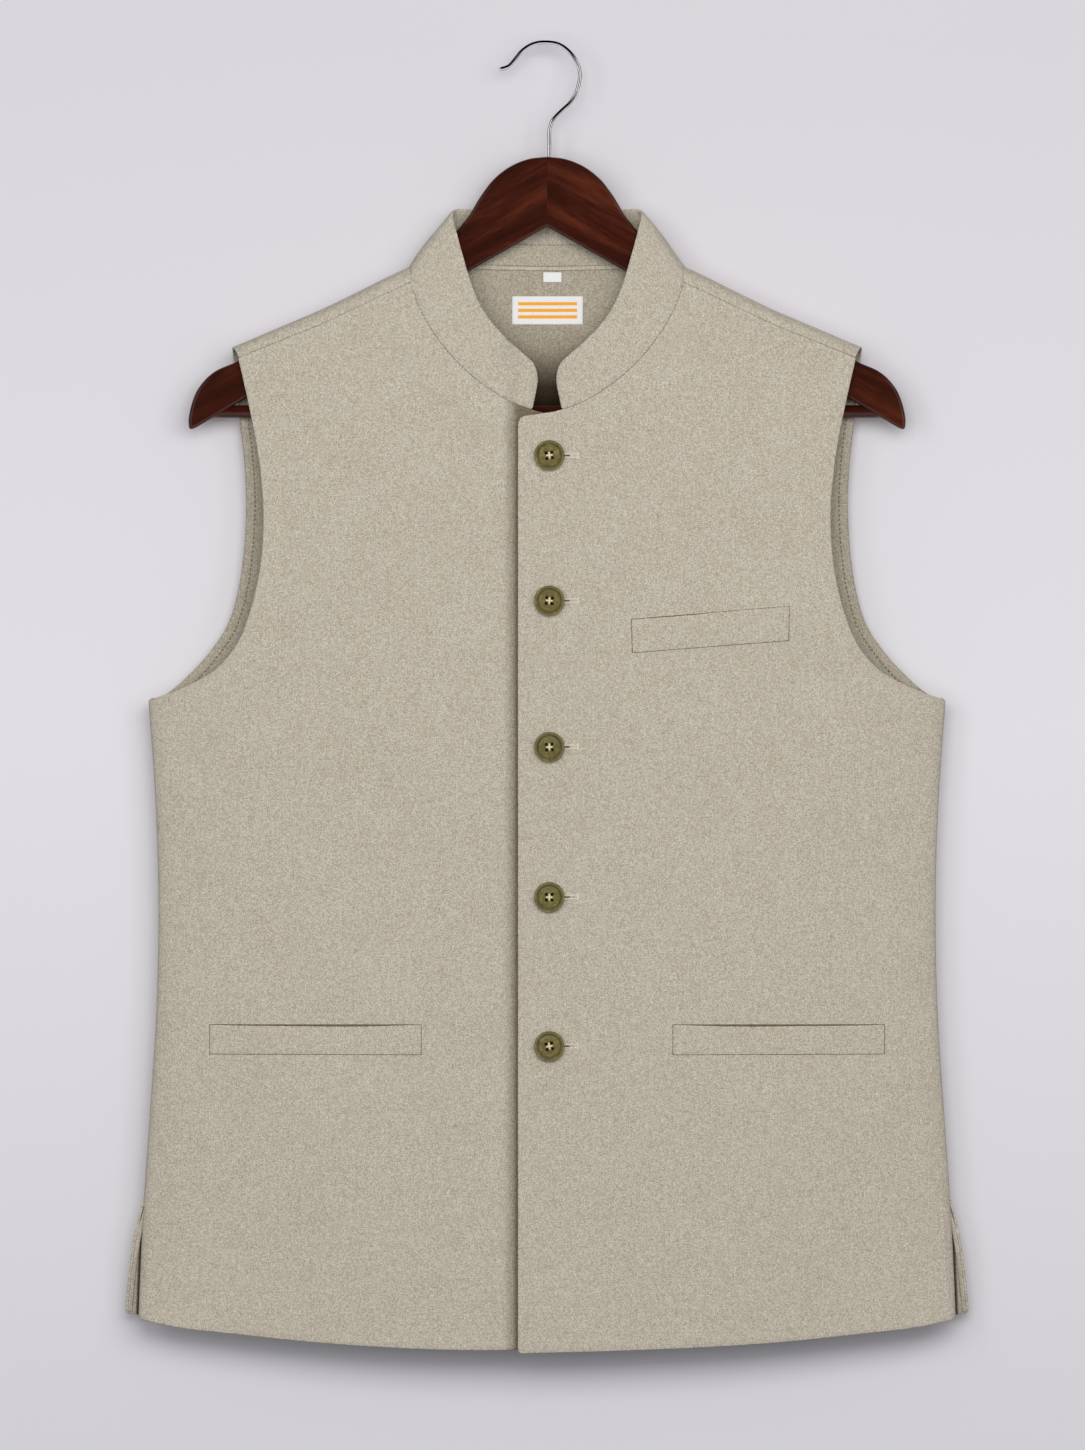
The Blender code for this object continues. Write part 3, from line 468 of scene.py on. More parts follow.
def shell(outer, inner, weave, edge, open_at_centre=False, rim_steps=5):
    """(points, quads, weave places) of cloth between two grids, with a rounded rim.

    edge is how far the rim stands out, as one number or as a grid of them.
    """
    rows, columns, _ = outer.shape
    index = np.arange(rows * columns).reshape(rows, columns)
    a, b = index[:-1, :-1].ravel(), index[:-1, 1:].ravel()
    c, d = index[1:, 1:].ravel(), index[1:, :-1].ravel()
    back = rows * columns
    quads = [np.stack([a, b, c, d], 1), np.stack([a, d, c, b], 1) + back]
    points = [outer.reshape(-1, 3), inner.reshape(-1, 3)]
    places = [weave.reshape(-1, 2)] * 2
    ring, links = ring_of(rows, columns, open_at_centre, outer)
    at = tuple(np.array(ring).T)
    middle = (outer[at] + inner[at]) / 2
    half = (outer[at] - inner[at]) / 2
    towards = np.roll(middle, -1, axis=0) - np.roll(middle, 1, axis=0)
    out = unit(np.cross(unit(towards), unit(half)))
    inside = (np.clip(at[0], 1, rows - 2), np.clip(at[1], 1, columns - 2))
    centre = (outer[inside] + inner[inside]) / 2
    out *= np.sign(((middle - centre) * out).sum(axis=1, keepdims=True))
    if open_at_centre:
        out[np.abs(middle[:, 0]) < 1e-6, 0] = 0
    reach = np.broadcast_to(edge, (rows, columns))[at][:, None]
    loops = [index[at]]
    for step in range(1, rim_steps):
        turn = math.pi * step / rim_steps
        points.append(middle + half * math.cos(turn) + out * reach * math.sin(turn))
        places.append(weave[at])
        loops.append(2 * back + (step - 1) * len(ring) + np.arange(len(ring)))
    loops.append(index[at] + back)
    k, m = np.array(links).T
    for near, far in zip(loops, loops[1:]):
        quads.append(np.stack([near[m], near[k], far[k], far[m]], 1))
    return np.vstack(points), np.vstack(quads), np.vstack(places)


def flipped(part):
    """A part turned into its mirror image across x = 0."""
    points, quads, places = part
    return points * (-1, 1, 1), quads[:, ::-1], places * (-1, 1)


def joined(*parts):
    points, quads, places = [], [], []
    base = 0
    for p, q, w in parts:
        points.append(p)
        quads.append(q + base)
        places.append(w)
        base += len(p)
    return np.vstack(points), np.vstack(quads), np.vstack(places)


def make_object(name, part, material, weld=False, inside=None):
    """A smooth mesh object from a part, with its weave places as a UV map in metres.

    Where inside is given, the faces that look to the front take that material, a darker copy of the cloth
    as painted shade, above INSIDE_LOWEST and the cloth's own below it;
    those between the vents, below their top, take the copy with painted shade beside the front's edge.
    """
    points, quads, places = part
    mesh = bpy.data.meshes.new(name)
    mesh.from_pydata((points * MM).tolist(), [], quads.tolist())
    layer = mesh.uv_layers.new(name="weave")
    corners = np.empty(len(mesh.loops), np.int32)
    mesh.loops.foreach_get("vertex_index", corners)
    layer.uv.foreach_set("vector", (places * MM)[corners].astype(np.float32).ravel())
    if weld:
        bm = bmesh.new()
        bm.from_mesh(mesh)
        bmesh.ops.remove_doubles(bm, verts=bm.verts, dist=1e-6)
        bm.to_mesh(mesh)
        bm.free()
    turn_outwards(mesh)
    mesh.shade_smooth()
    mesh.materials.append(material)
    if inside:
        mesh.materials.append(inside)
        mesh.materials.append(bpy.data.materials["vent_inside"])
        for face in mesh.polygons:
            _, y, z = face.center / MM
            if face.normal.y > -0.3 or y < 0:
                continue
            # Painted shade: the darker copy of the cloth inside, down to INSIDE_LOWEST, and the shaded
            # copy between the vents
            face.material_index = 2 if z < VENT_TOP else int(z * MM > INSIDE_LOWEST)
    obj = bpy.data.objects.new(name, mesh)
    bpy.context.scene.collection.objects.link(obj)
    return obj


def turn_outwards(mesh):
    bm = bmesh.new()
    bm.from_mesh(mesh)
    bmesh.ops.recalc_face_normals(bm, faces=bm.faces)
    bm.to_mesh(mesh)
    bm.free()


def settle(obj, slot, *nodes):
    """Rides a piece on the jacket's one body, standing for its CAD nodes. Its slot is not used."""
    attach(obj, "root")
    if nodes:
        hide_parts(*nodes)
    return obj


# ---------------------------------------------------------------- panels


def bands(*parts):
    """Joins the rows of each part, leaving out each later part's repeated first row."""
    return np.vstack([parts[0]] + [part[1:] for part in parts[1:]])


def edge_line(start, end, count):
    return np.linspace(start, end, count + 1)


def armhole_rows(table, split_level, lower, upper):
    """Rows up an armhole, in two bands that meet at split_level."""
    curve = curve_through(table)
    split = int(np.argmin(np.abs(curve[:, 1] - split_level)))
    first = at_shares(curve[: split + 1], np.linspace(0, 1, lower + 1))
    second = at_shares(curve[split:], np.linspace(0, 1, upper + 1))
    return first, second


def side_rows(hem_z, is_back, count):
    z = np.linspace(hem_z, UNDERARM_LEVEL, count + 1)
    return np.stack([half_width(z, is_back), z], axis=-1)


def corner_rise(distance):
    """How far a hem turns up at a rounded corner, at this distance from the side."""
    inside = np.clip(HEM_CORNER - distance, 0, HEM_CORNER)
    return HEM_CORNER - np.sqrt(HEM_CORNER**2 - inside**2)


def column_shares(columns):
    """Shares across a panel, closer together towards its side, with more at both edges."""
    even = 1 - (1 - np.linspace(0, 1, columns + 1)) ** SIDE_CROWDING
    fine = np.array(EDGE_SHARES)
    middle = even[(even > fine[-1] + 0.002) & (even < 1 - fine[-1] - 0.002)]
    return np.concatenate([fine, middle, (1 - fine)[::-1]])


def spread(inner, outer, hem, share, corners):
    """(x, z) of a grid whose rows follow the ridge's bend and, low down, the hem's."""
    drop_in = ridge(inner[:, 0]) - inner[:, 1]
    drop_out = ridge(outer[:, 0]) - outer[:, 1]
    x = inner[:, :1] + (outer[:, :1] - inner[:, :1]) * share
    drop = drop_in[:, None] + (drop_out - drop_in)[:, None] * share
    sag = ridge(x[0]) - smooth_value(hem, x[0]) - drop[0]
    for corner in corners:
        sag -= corner_rise(np.abs(x[0] - x[0, corner]))
    fade = np.clip(1 - np.arange(len(x)) / HEM_BENT_ROWS, 0, 1) ** 2
    drop = drop + fade[:, None] * sag
    return x, ridge(x) - drop


def weave_places(points):
    """Places on the flat cloth: straight grain, with lengths measured round the bends."""
    step_x = np.diff(points[..., 0], axis=1)
    step_y = np.diff(points[..., 1], axis=1)
    run = np.sign(step_x) * np.hypot(step_x, step_y)
    u = np.cumsum(np.hstack([points[:, :1, 0], run]), axis=1)
    rise_y = np.diff(points[..., 1], axis=0)
    rise_z = np.diff(points[..., 2], axis=0)
    climb = np.hypot(rise_y, rise_z)
    v = np.cumsum(np.vstack([points[:1, :, 2], climb]), axis=0)
    return np.stack([u, v], axis=-1)


def front_inner_edge(is_under):
    """(x, z) rows up the front edge and round the neck to the shoulder seam."""
    hem = HEM_CENTRE_UNDER if is_under else HEM_CENTRE_OVER
    top = UNDERLAP_TOP if is_under else LAP_TOP
    chest = (FRONT_EDGE_X, CHEST_ROW_LEVEL)
    neck = front_neck(np.linspace(COLLAR_START_ANGLE, SHOULDER_SEAM_ANGLE, NECK_ROWS + 1))
    lap = at_shares(curve_through([*top, neck[0]]), np.linspace(0, 1, LAP_ROWS + 1))
    return bands(
        edge_line((FRONT_EDGE_X, hem), chest, HEM_ROWS),
        edge_line(chest, top[0], CHEST_ROWS),
        lap,
        neck,
    )


def front_outer_edge(rows):
    side = side_rows(FRONT_HEM[-1][1], False, HEM_ROWS)
    lower = CHEST_ROWS + LAP_ROWS // 2
    upper = rows - 1 - HEM_ROWS - lower
    return bands(side, *armhole_rows(FRONT_ARMHOLE, FRONT_SPLIT, lower, upper))


def front_grids(is_under):
    """Outer and inner grids of a front, as if it were the wearer's left one."""
    inner_edge = front_inner_edge(is_under)
    outer_edge = front_outer_edge(len(inner_edge))
    hem = ((FRONT_EDGE_X, inner_edge[0, 1]), *FRONT_HEM[1:])
    share = column_shares(FRONT_COLUMNS)
    x, z = spread(inner_edge, outer_edge, hem, share, (0, -1))
    outer = np.stack([x, front_y(x, z, is_under), z], axis=-1)
    normals = grid_normals(outer)
    normals[-1] = (0, -1, 0)
    inner = outer - FRONT_CLOTH * normals
    inner[..., 1] = np.minimum(inner[..., 1], -SEAM_GAP / 2)
    return outer, inner


def front_edges(rows, columns):
    """How far each place on the border stands out: less where it is sewn to another piece."""
    edge = np.full((rows, columns), FREE_EDGE)
    edge[-1] = SEWN_EDGE
    edge[-NECK_ROWS - 1 :, 0] = SEWN_EDGE
    edge[: HEM_ROWS + 1, -1] = SEWN_EDGE
    return edge


def front_panel(name, grids, is_under):
    outer, inner = grids
    part = shell(outer, inner, weave_places(outer), front_edges(*outer.shape[:2]))
    if is_under:
        part = flipped(part)
    # The under front's copy of the cloth holds painted shade beside the over front's edge
    return make_object(name, part, bpy.data.materials["cloth_under" if is_under else "cloth"])


def back_edges():
    """(x, z) rows of the back's inner and outer edges, up to the ridge."""
    neck = back_neck(np.linspace(0, 1, 400))
    neck_drop = ridge(neck[:, 0]) - neck[:, 1]
    fold_drops = roll_drops(ROLL, FOLD_ROWS + 1)[::-1]
    fold_x = np.interp(fold_drops, neck_drop[::-1], neck[::-1, 0])
    fold_share = 2 / math.pi * math.asin(fold_x[0] / NECK_HALF_WIDTH)
    chest = (0, CHEST_ROW_LEVEL)
    inner = bands(
        edge_line((0, BACK_HEM_CENTRE), chest, HEM_ROWS),
        edge_line(chest, (0, BACK_NECK_LEVEL), BACK_CHEST_ROWS),
        back_neck(np.linspace(0, fold_share, BACK_NECK_ROWS + 1)),
        np.stack([fold_x, ridge(fold_x) - fold_drops], axis=-1),
    )
    side = side_rows(BACK_HEM[-1][1], True, HEM_ROWS)
    lower, upper = armhole_rows(BACK_ARMHOLE, BACK_SPLIT, BACK_CHEST_ROWS, BACK_NECK_ROWS)
    tip_x = upper[-1, 0] + (BACK_TIP_X - upper[-1, 0]) * (1 - fold_drops / ROLL)
    fold_out = np.stack([tip_x, ridge(tip_x) - fold_drops], axis=-1)
    upper[-1] = fold_out[0]
    return inner, bands(side, lower, upper, fold_out)


def strip_over_ridge(x_ridge, front_top):
    """Rows from just past the ridge, round the fold, to the gap at the shoulder seam."""
    share = column_shares(BACK_COLUMNS)
    front_share = column_shares(FRONT_COLUMNS)
    top = np.stack([np.interp(share, front_share, c) for c in front_top.T], axis=-1)
    seam_drop = ridge(top[:, 0]) - top[:, 2] - SEAM_GROOVE
    turned = np.linspace(0, 1, FOLD_ROWS + 1)[1:, None]
    drop = seam_drop * (1 - np.cos(turned * math.pi / 2))
    x = x_ridge + turned * (top[:, 0] - x_ridge)
    return np.stack([x, -roll_depth(drop) - SEAM_GAP / 2, ridge(x) - drop], axis=-1)


def back_grids(front_top, side):
    """Outer and inner grids of half the back, up to the ridge and over to the front."""
    inner_edge, outer_edge = back_edges()
    x, z = spread(inner_edge, outer_edge, BACK_HEM, column_shares(BACK_COLUMNS), (-1,))
    behind = np.stack([x, back_y(x, z, side), z], axis=-1)
    behind[-1, :, 1] = 0
    outer = np.vstack([behind, strip_over_ridge(x[-1], front_top)])
    normals = -grid_normals(outer)
    normals[-1] = (0, -1, 0)
    at_centre = outer[..., 0] < 1e-6
    normals[at_centre, 0] = 0
    inner = outer - BACK_CLOTH * normals
    hanging = np.arange(len(outer)) < len(behind) - FOLD_ROWS
    inner[hanging, :, 1] = np.maximum(inner[hanging, :, 1], SEAM_GAP / 2)
    return outer, inner


def back_half(grids):
    outer, inner = grids
    edge = np.full(outer.shape[:2], FREE_EDGE)
    edge[-1] = SEWN_EDGE
    edge[HEM_ROWS + BACK_CHEST_ROWS :, 0] = SEWN_EDGE
    edge[: HEM_ROWS + 1, -1] = SEWN_EDGE
    return shell(outer, inner, weave_places(outer), edge, open_at_centre=True)


def back_panel(name, left, right):
    part = joined(back_half(left), flipped(back_half(right)))
    # The back's inside is a darker copy of the cloth, with painted shade down the neck gap
    inside = bpy.data.materials["back_inside"]
    return make_object(name, part, bpy.data.materials["cloth"], weld=True, inside=inside)


# ---------------------------------------------------------------- collar


def neck_seam(front, back):
    """The half neck seam on the panels' own edges, and the cloth's normals along it."""
    back_rows = BACK_NECK_ROWS + 2 * FOLD_ROWS
    edges = []
    for grid_front, grid_back in zip(front, back):
        on_front = grid_front[-NECK_ROWS - 1 :, 0]
        on_back = grid_back[::-1][1 : back_rows + 1, 0]
        edges.append(np.vstack([on_front, on_back]))
    return edges[0], unit(edges[0] - edges[1])


def collar_half(front, back, is_under):
    """Outer and inner grids of half the collar, from its front end to the centre back."""
    low, normals = neck_seam(front, back)
    shares = length_shares(low)
    top = np.stack([smooth_value(COLLAR_TOP, shares, c) for c in (1, 2, 3)], axis=-1)
    top[:, 1] += tuck(top[:, 0], is_under)
    low = low + SEAM_GROOVE * unit(top - low)
    low[-1, 0] = 0
    height = np.linspace(0, 1, COLLAR_ROWS + 1)[:, None, None]
    outer = low + (top - low) * height
    face = grid_normals(outer)
    face *= np.sign((face * normals).sum(axis=-1, keepdims=True))
    face[:, -1, 0] = 0
    start = 2 if is_under else 0
    waver = 0.35 * np.sin(9 * shares + start) * np.sin(2 * math.pi * height[..., 0])
    outer = outer + face * (COLLAR_BULGE * np.sin(math.pi * height) + waver[..., None])
    blend = np.clip(height * 4, 0, 1)
    through = unit(face * blend + normals * (1 - blend))
    return outer, outer - COLLAR_CLOTH * through


def both_halves(on_left, on_right):
    """One grid from two halves that share their last column, the second one mirrored."""
    flip = np.array([-1.0, 1.0, 1.0])
    return np.concatenate([on_left[:, :-1], (on_right * flip)[:, ::-1]], axis=1)


def band_places(grid):
    """Weave places on a band: along its middle, and across it."""
    middle = grid[len(grid) // 2]
    along = length_shares(middle) * np.linalg.norm(np.diff(middle, axis=0), axis=1).sum()
    up = np.linalg.norm(np.diff(grid, axis=0), axis=2)
    across = np.vstack([0 * up[:1], np.cumsum(up, axis=0)])
    return np.stack([np.broadcast_to(along, across.shape), across], axis=-1)


def collar(name, left, right):
    outer = both_halves(left[0], right[0])
    inner = both_halves(left[1], right[1])
    edge = np.full(outer.shape[:2], FREE_EDGE * 1.4)
    edge[0] = SEWN_EDGE
    part = shell(outer, inner, band_places(outer), edge)
    return make_object(name, part, bpy.data.materials["cloth"])


def collar_inner_strip(name, half):
    """The strip stitched inside the back of the collar, just above the neck seam."""
    first = int(STRIP_FROM * half[0].shape[1])
    outer, inner = (grid[:, first:] for grid in half)
    through = unit(outer - inner)
    low, high = (round(share * COLLAR_ROWS) for share in STRIP_SHARES)
    near = (inner - through * LAID_GAP)[low : high + 1]
    far = (inner - through * (LAID_GAP + TRIM_CLOTH))[low : high + 1]
    near, far = both_halves(near, near), both_halves(far, far)
    part = shell(near, far, band_places(near), SEWN_EDGE)
    return make_object(name, part, bpy.data.materials["cloth_inside"])


# ---------------------------------------------------------------- welts, facings and labels


def patch(corners, columns, rows):
    """(x, z) grids over four corners: outer top, inner top, inner bottom, outer bottom."""
    a, b, c, d = (np.array(p, float) for p in corners)
    s = np.linspace(0, 1, columns + 1)[None, :, None]
    t = np.linspace(0, 1, rows + 1)[:, None, None]
    grid = (1 - t) * ((1 - s) * c + s * d) + t * ((1 - s) * b + s * a)
    return grid[..., 0], grid[..., 1], s[0, :, 0], t[:, 0, 0]


def grown(corners, sideways, up, down):
    """The corners moved out, so that a sheet of painted shade shows as a dark seam line round a welt."""
    a, b, c, d = (np.array(p, float) for p in corners)
    return (
        a + (sideways, up),
        b + (-sideways, up),
        c + (-sideways, -down),
        d + (sideways, -down),
    )


def welt(name, corners, is_under, sag):
    """A welt strip laid on its front, with a sheet of painted shade under it that shows as the dark mouth
    and seam line round it.
    """

    def surface(px, pz):
        return front_y(px, pz, is_under)

    def laid(x, z, low, high):
        return lifted(surface, x, z, high, -1), lifted(surface, x, z, low, -1)

    x, z, s, t = patch(corners, 72, 10)
    droop = sag * np.sin(math.pi * s) ** 0.8 + 0.25 * np.sin(7 * s) * np.sin(math.pi * s)
    z = z - droop[None, :] * t[:, None] ** 3
    belly = 0.35 * np.sin(math.pi * t)[:, None] * np.sin(math.pi * s)[None, :]
    outer, inner = laid(x, z, LAID_GAP, LAID_GAP + WELT_CLOTH)
    outer[..., 1] -= belly
    strip = shell(outer, inner, np.stack([x, z], axis=-1), SEWN_EDGE)
    mx, mz, _, _ = patch(grown(corners, WELT_SHADE_MARGIN, 0.65, 0.65), 72, 6)
    mouth_outer, mouth_inner = laid(mx, mz, 0.02, 0.12)
    mouth = shell(mouth_outer, mouth_inner, np.stack([mx, mz], axis=-1), 0.02, rim_steps=2)
    if is_under:
        strip, mouth = flipped(strip), flipped(mouth)
    face = make_object(name + "_looks", strip, bpy.data.materials["cloth"])
    # The mouth is a sheet of painted shade: the dark of the pocket's opening and of the seam round the
    # welt
    dark = make_object(name + "_mouth", mouth, bpy.data.materials["cloth_shade"])
    settle(face, "suiting", name)
    settle(dark, "suiting_inside")
    return face


def label(name, size, material):
    x, z, width, height = size
    half_w = width / 2
    half_h = height / 2
    corners = (
        (x + half_w, z + half_h),
        (x - half_w, z + half_h),
        (x - half_w, z - half_h),
        (x + half_w, z - half_h),
    )
    xs, zs, _, _ = patch(corners, 30, 14)
    wave = 0.12 * np.sin(0.5 * xs + 0.3 * zs)
    near = inside_back(xs, zs, LAID_GAP)
    far = inside_back(xs, zs, LAID_GAP + LABEL_CLOTH)
    far[..., 1] -= wave + 0.12
    places = np.stack([xs - x, zs - z], axis=-1)
    part = shell(near, far, places, 0.1, rim_steps=3)
    obj = make_object(name + "_looks", part, bpy.data.materials[material])
    return settle(obj, "label_white", name)


def size_tag(name):
    """A tape folded double into a loop, with its ends caught in the neck seam."""
    x, z, width, height = SIZE_TAG
    fold = 0.28
    low = z - height / 2 + fold
    turn = np.linspace(0, math.pi, 9)
    down = np.linspace(z + height / 2, low, 14)
    levels = np.concatenate([down, low - fold * np.sin(turn[1:-1]), down[::-1]])
    lifts = np.concatenate([0 * down + fold, fold * np.cos(turn[1:-1]), 0 * down - fold])
    xs = np.linspace(x - width / 2, x + width / 2, 20)
    xs, levels = np.meshgrid(xs, levels)
    lifts = lifts[:, None] + LAID_GAP + LABEL_CLOTH + fold
    middle = inside_back(xs, levels, 0.0) + lifts[..., None] * (0, -1, 0)
    outwards = -grid_normals(middle)
    half = outwards * LABEL_CLOTH / 2
    length = np.concatenate([[0], np.cumsum(np.linalg.norm(np.diff(middle[:, 0], axis=0), axis=1))])
    places = np.stack(np.broadcast_arrays(xs - x, length[:, None]), axis=-1)
    part = shell(middle + half, middle - half, places, 0.08, rim_steps=3)
    obj = make_object(name + "_looks", part, bpy.data.materials["tag_tape"])
    return settle(obj, "label_white", name)


def facing_edge(shares):
    """(x, z) down the back's armhole edge, and the direction into the cloth."""
    edge = at_shares(curve_through(BACK_ARMHOLE[1:]), shares)
    along = unit(np.gradient(edge, axis=0))
    return edge, np.stack([-along[:, 1], along[:, 0]], axis=-1)


def armhole_facing(name, side):
    """A strip inside the back, along its armhole edge."""
    edge, inwards = facing_edge(np.linspace(0.02, 0.88, 150))
    across = np.linspace(0.5, 20.0, 12)
    grid = edge[:, None] + inwards[:, None] * across[None, :, None]
    x, z = grid[..., 0], grid[..., 1]
    near = inside_back(x, z, LAID_GAP)
    far = inside_back(x, z, LAID_GAP + TRIM_CLOTH)
    part = shell(near, far, np.stack([x, z], axis=-1), SEWN_EDGE)
    if side < 0:
        part = flipped(part)
    obj = make_object(name + "_looks", part, bpy.data.materials["cloth_inside"])
    return settle(obj, "suiting_inside", name)


# ---------------------------------------------------------------- stitches


def stitch_parts(starts, ends, normals, radius, sink):
    """Short raised threads from each start to its end, dipping into the cloth at both."""
    along = ends - starts
    sideways = unit(np.cross(along, normals))
    sides = 6
    ends_dip = (0.35, -sink)
    stations = ((0.0, *ends_dip), (0.18, 0.9, 0.3), (0.5, 1.0, 0.5), (0.82, 0.9, 0.3), (1.0, *ends_dip))
    rings = []
    for share, size, height in stations:
        centre = starts + along * share + normals * (height * radius)
        for k in range(sides):
            turn = 2 * math.pi * k / sides
            spoke = sideways * math.cos(turn) + normals * math.sin(turn)
            rings.append(centre + spoke * radius * size)
    points = np.stack(rings, axis=1)
    count = len(starts)
    width = points.shape[1]
    quads = []
    for station in range(len(stations) - 1):
        for k in range(sides):
            a = station * sides + k
            b = station * sides + (k + 1) % sides
            quads.append((a, b, b + sides, a + sides))
    quads += [(3, 2, 1, 0), (0, 5, 4, 3)]
    last = (len(stations) - 1) * sides
    quads += [(last, last + 1, last + 2, last + 3), (last + 3, last + 4, last + 5, last)]
    every = np.array(quads)[None] + (np.arange(count) * width)[:, None, None]
    flat = points.reshape(-1, 3)
    return flat, every.reshape(-1, 4), flat[:, [0, 2]]


def run_of_stitches(path, normals, pitch, length, radius, sink=0.2):
    """Stitches spaced along a path of points, each with the cloth's normal there."""
    total = np.linalg.norm(np.diff(path, axis=0), axis=1).sum()
    starts = np.arange(pitch / 2, total - length, pitch) / total
    both = np.hstack([path, normals])
    a = at_shares_of(both, starts)
    b = at_shares_of(both, starts + length / total)
    middle = unit((a[:, 3:] + b[:, 3:]) / 2)
    return stitch_parts(a[:, :3], b[:, :3], middle, radius, sink)


def at_shares_of(rows, shares):
    """Rows whose first three columns are a path, at these shares of its length."""
    where = length_shares(rows[:, :3])
    return np.stack([np.interp(shares, where, c) for c in rows.T], axis=-1)


def on_front(edge, is_under):
    """Points and normals on a front for (x, z) rows."""

    def surface(px, pz):
        return front_y(px, pz, is_under)

    x, z = edge[:, 0], edge[:, 1]
    base = lifted(surface, x, z, 0.0, -1)
    return base, lifted(surface, x, z, 1.0, -1) - base


def offset_line(points, distance):
    """A line beside a curve of (x, z) points, on its left for a positive distance."""
    along = unit(np.gradient(points, axis=0))
    return points + distance * np.stack([-along[:, 1], along[:, 0]], axis=-1)


def armhole_topstitch(is_under):
    curve = at_shares(curve_through(FRONT_ARMHOLE), np.linspace(0.01, 0.985, 160))
    path, normals = on_front(offset_line(curve, 9.0), is_under)
    part = run_of_stitches(path, normals, **TOPSTITCH)
    return flipped(part) if is_under else part


def vent_topstitch(is_under):
    z = np.linspace(VENT_TOP + 4, -838.0, 60)
    edge = np.stack([half_width(z, False) - 5.8, z], axis=-1)
    path, normals = on_front(edge, is_under)
    part = run_of_stitches(path, normals, **TOPSTITCH)
    return flipped(part) if is_under else part


def facing_stitch(side):
    """The close row of stitches that shows inside the armhole."""
    edge, inwards = facing_edge(np.linspace(0.03, 0.87, 200))
    line = edge + inwards * 5.2
    x, z = line[:, 0], line[:, 1]
    lift = LAID_GAP + TRIM_CLOTH
    path = inside_back(x, z, lift)
    normals = inside_back(x, z, lift + 1) - path
    part = run_of_stitches(path, normals, 3.0, 1.9, 0.45, 0.3)
    return part if side > 0 else flipped(part)


def vent_hem(side):
    """The narrow hem that shows inside the back, down its vent."""
    z = np.linspace(VENT_TOP - 4, VENT_HEM_END, 60)[:, None]
    x = half_width(z, True) - np.linspace(*VENT_HEM_SPAN, 6)[None, :]
    z = np.broadcast_to(z, x.shape)
    near = inside_back(x, z, 0.02)
    far = inside_back(x, z, 0.02 + TRIM_CLOTH)
    part = shell(near, far, np.stack([x, z], axis=-1), SEWN_EDGE)
    return part if side > 0 else flipped(part)


def vent_hem_stitch(side):
    """The stitches that hold the narrow hem inside the back, beside its vent."""
    z = np.linspace(VENT_TOP - 8, VENT_HEM_END + 1, 60)
    x = half_width(z, True) - VENT_HEM_SPAN[1] - 0.5
    path = inside_back(x, z, 0.0)
    normals = inside_back(x, z, 1.0) - path
    part = run_of_stitches(path, normals, 2.6, 1.7, 0.34, 0.3)
    return part if side > 0 else flipped(part)


def stitch_object(name, parts, material, slot):
    return settle(make_object(name, joined(*parts), bpy.data.materials[material]), slot)


def strip_stitches(half):
    """The stitched lines inside the back of the collar."""
    first = int(0.80 * half[0].shape[1])
    outer, inner = (grid[:, first:] for grid in half)
    through = unit(outer - inner)
    parts = []
    for share, pitch in ((0.40, 2.6), (0.05, 2.2)):
        row = round(share * COLLAR_ROWS)
        path = (inner - through * (LAID_GAP + TRIM_CLOTH))[row]
        part = run_of_stitches(path, -through[row], pitch, pitch * 0.62, 0.2, 0.4)
        parts += [part, flipped(part)]
    return parts


def buttonhole(level):
    """Close stitches on both sides of a slit, with a bar tack at its end."""
    half_gap = 0.5
    pitch = 0.8
    x = np.arange(BUTTONHOLE_LIPS, BUTTONHOLE_END, pitch)
    parts = []
    for side in (-1, 1):
        inner_line = np.stack([x, np.full_like(x, level + side * half_gap)], axis=-1)
        outer_line = inner_line + (0.1, side * 1.25)
        a, normals = on_front(inner_line, False)
        b, _ = on_front(outer_line, False)
        parts.append(stitch_parts(a, b, normals, 0.4, 0.1))
    z = np.linspace(level - 1.9, level + 1.9, 6)
    left = np.stack([np.full_like(z, BUTTONHOLE_END - 0.2), z], axis=-1)
    a, normals = on_front(left, False)
    b, _ = on_front(left + (1.5, 0), False)
    parts.append(stitch_parts(a, b, normals, 0.42, 0.1))
    return parts


# A thin sheet of painted shade on the front, standing for the dark of a buttonhole's slit
def buttonhole_slit(level):
    corners = (
        (BUTTONHOLE_SLIT, level + 0.5),
        (BUTTONHOLE_START, level + 0.5),
        (BUTTONHOLE_START, level - 0.5),
        (BUTTONHOLE_SLIT, level - 0.5),
    )
    x, z, _, _ = patch(corners, 24, 2)
    outer = lifted(front_y, x, z, 0.12, -1)
    inner = lifted(front_y, x, z, 0.02, -1)
    return shell(outer, inner, np.stack([x, z], axis=-1), 0.02, rim_steps=2)


# ---------------------------------------------------------------- buttons


def button_mesh(name):
    """A turned four-hole button with its back on z = 0, facing +Z."""
    bm = bmesh.new()
    rows = [bm.verts.new((r * MM, 0, h * MM)) for r, h in BUTTON_PROFILE]
    edges = [bm.edges.new(pair) for pair in zip(rows, rows[1:])]
    bmesh.ops.spin(
        bm,
        geom=rows + edges,
        cent=(0, 0, 0),
        axis=(0, 0, 1),
        angle=2 * math.pi,
        steps=BUTTON_STEPS,
        use_merge=True,
    )
    bmesh.ops.remove_doubles(bm, verts=bm.verts, dist=1e-6)
    bmesh.ops.recalc_face_normals(bm, faces=bm.faces)
    mesh = bpy.data.meshes.new(name)
    bm.to_mesh(mesh)
    bm.free()
    return mesh


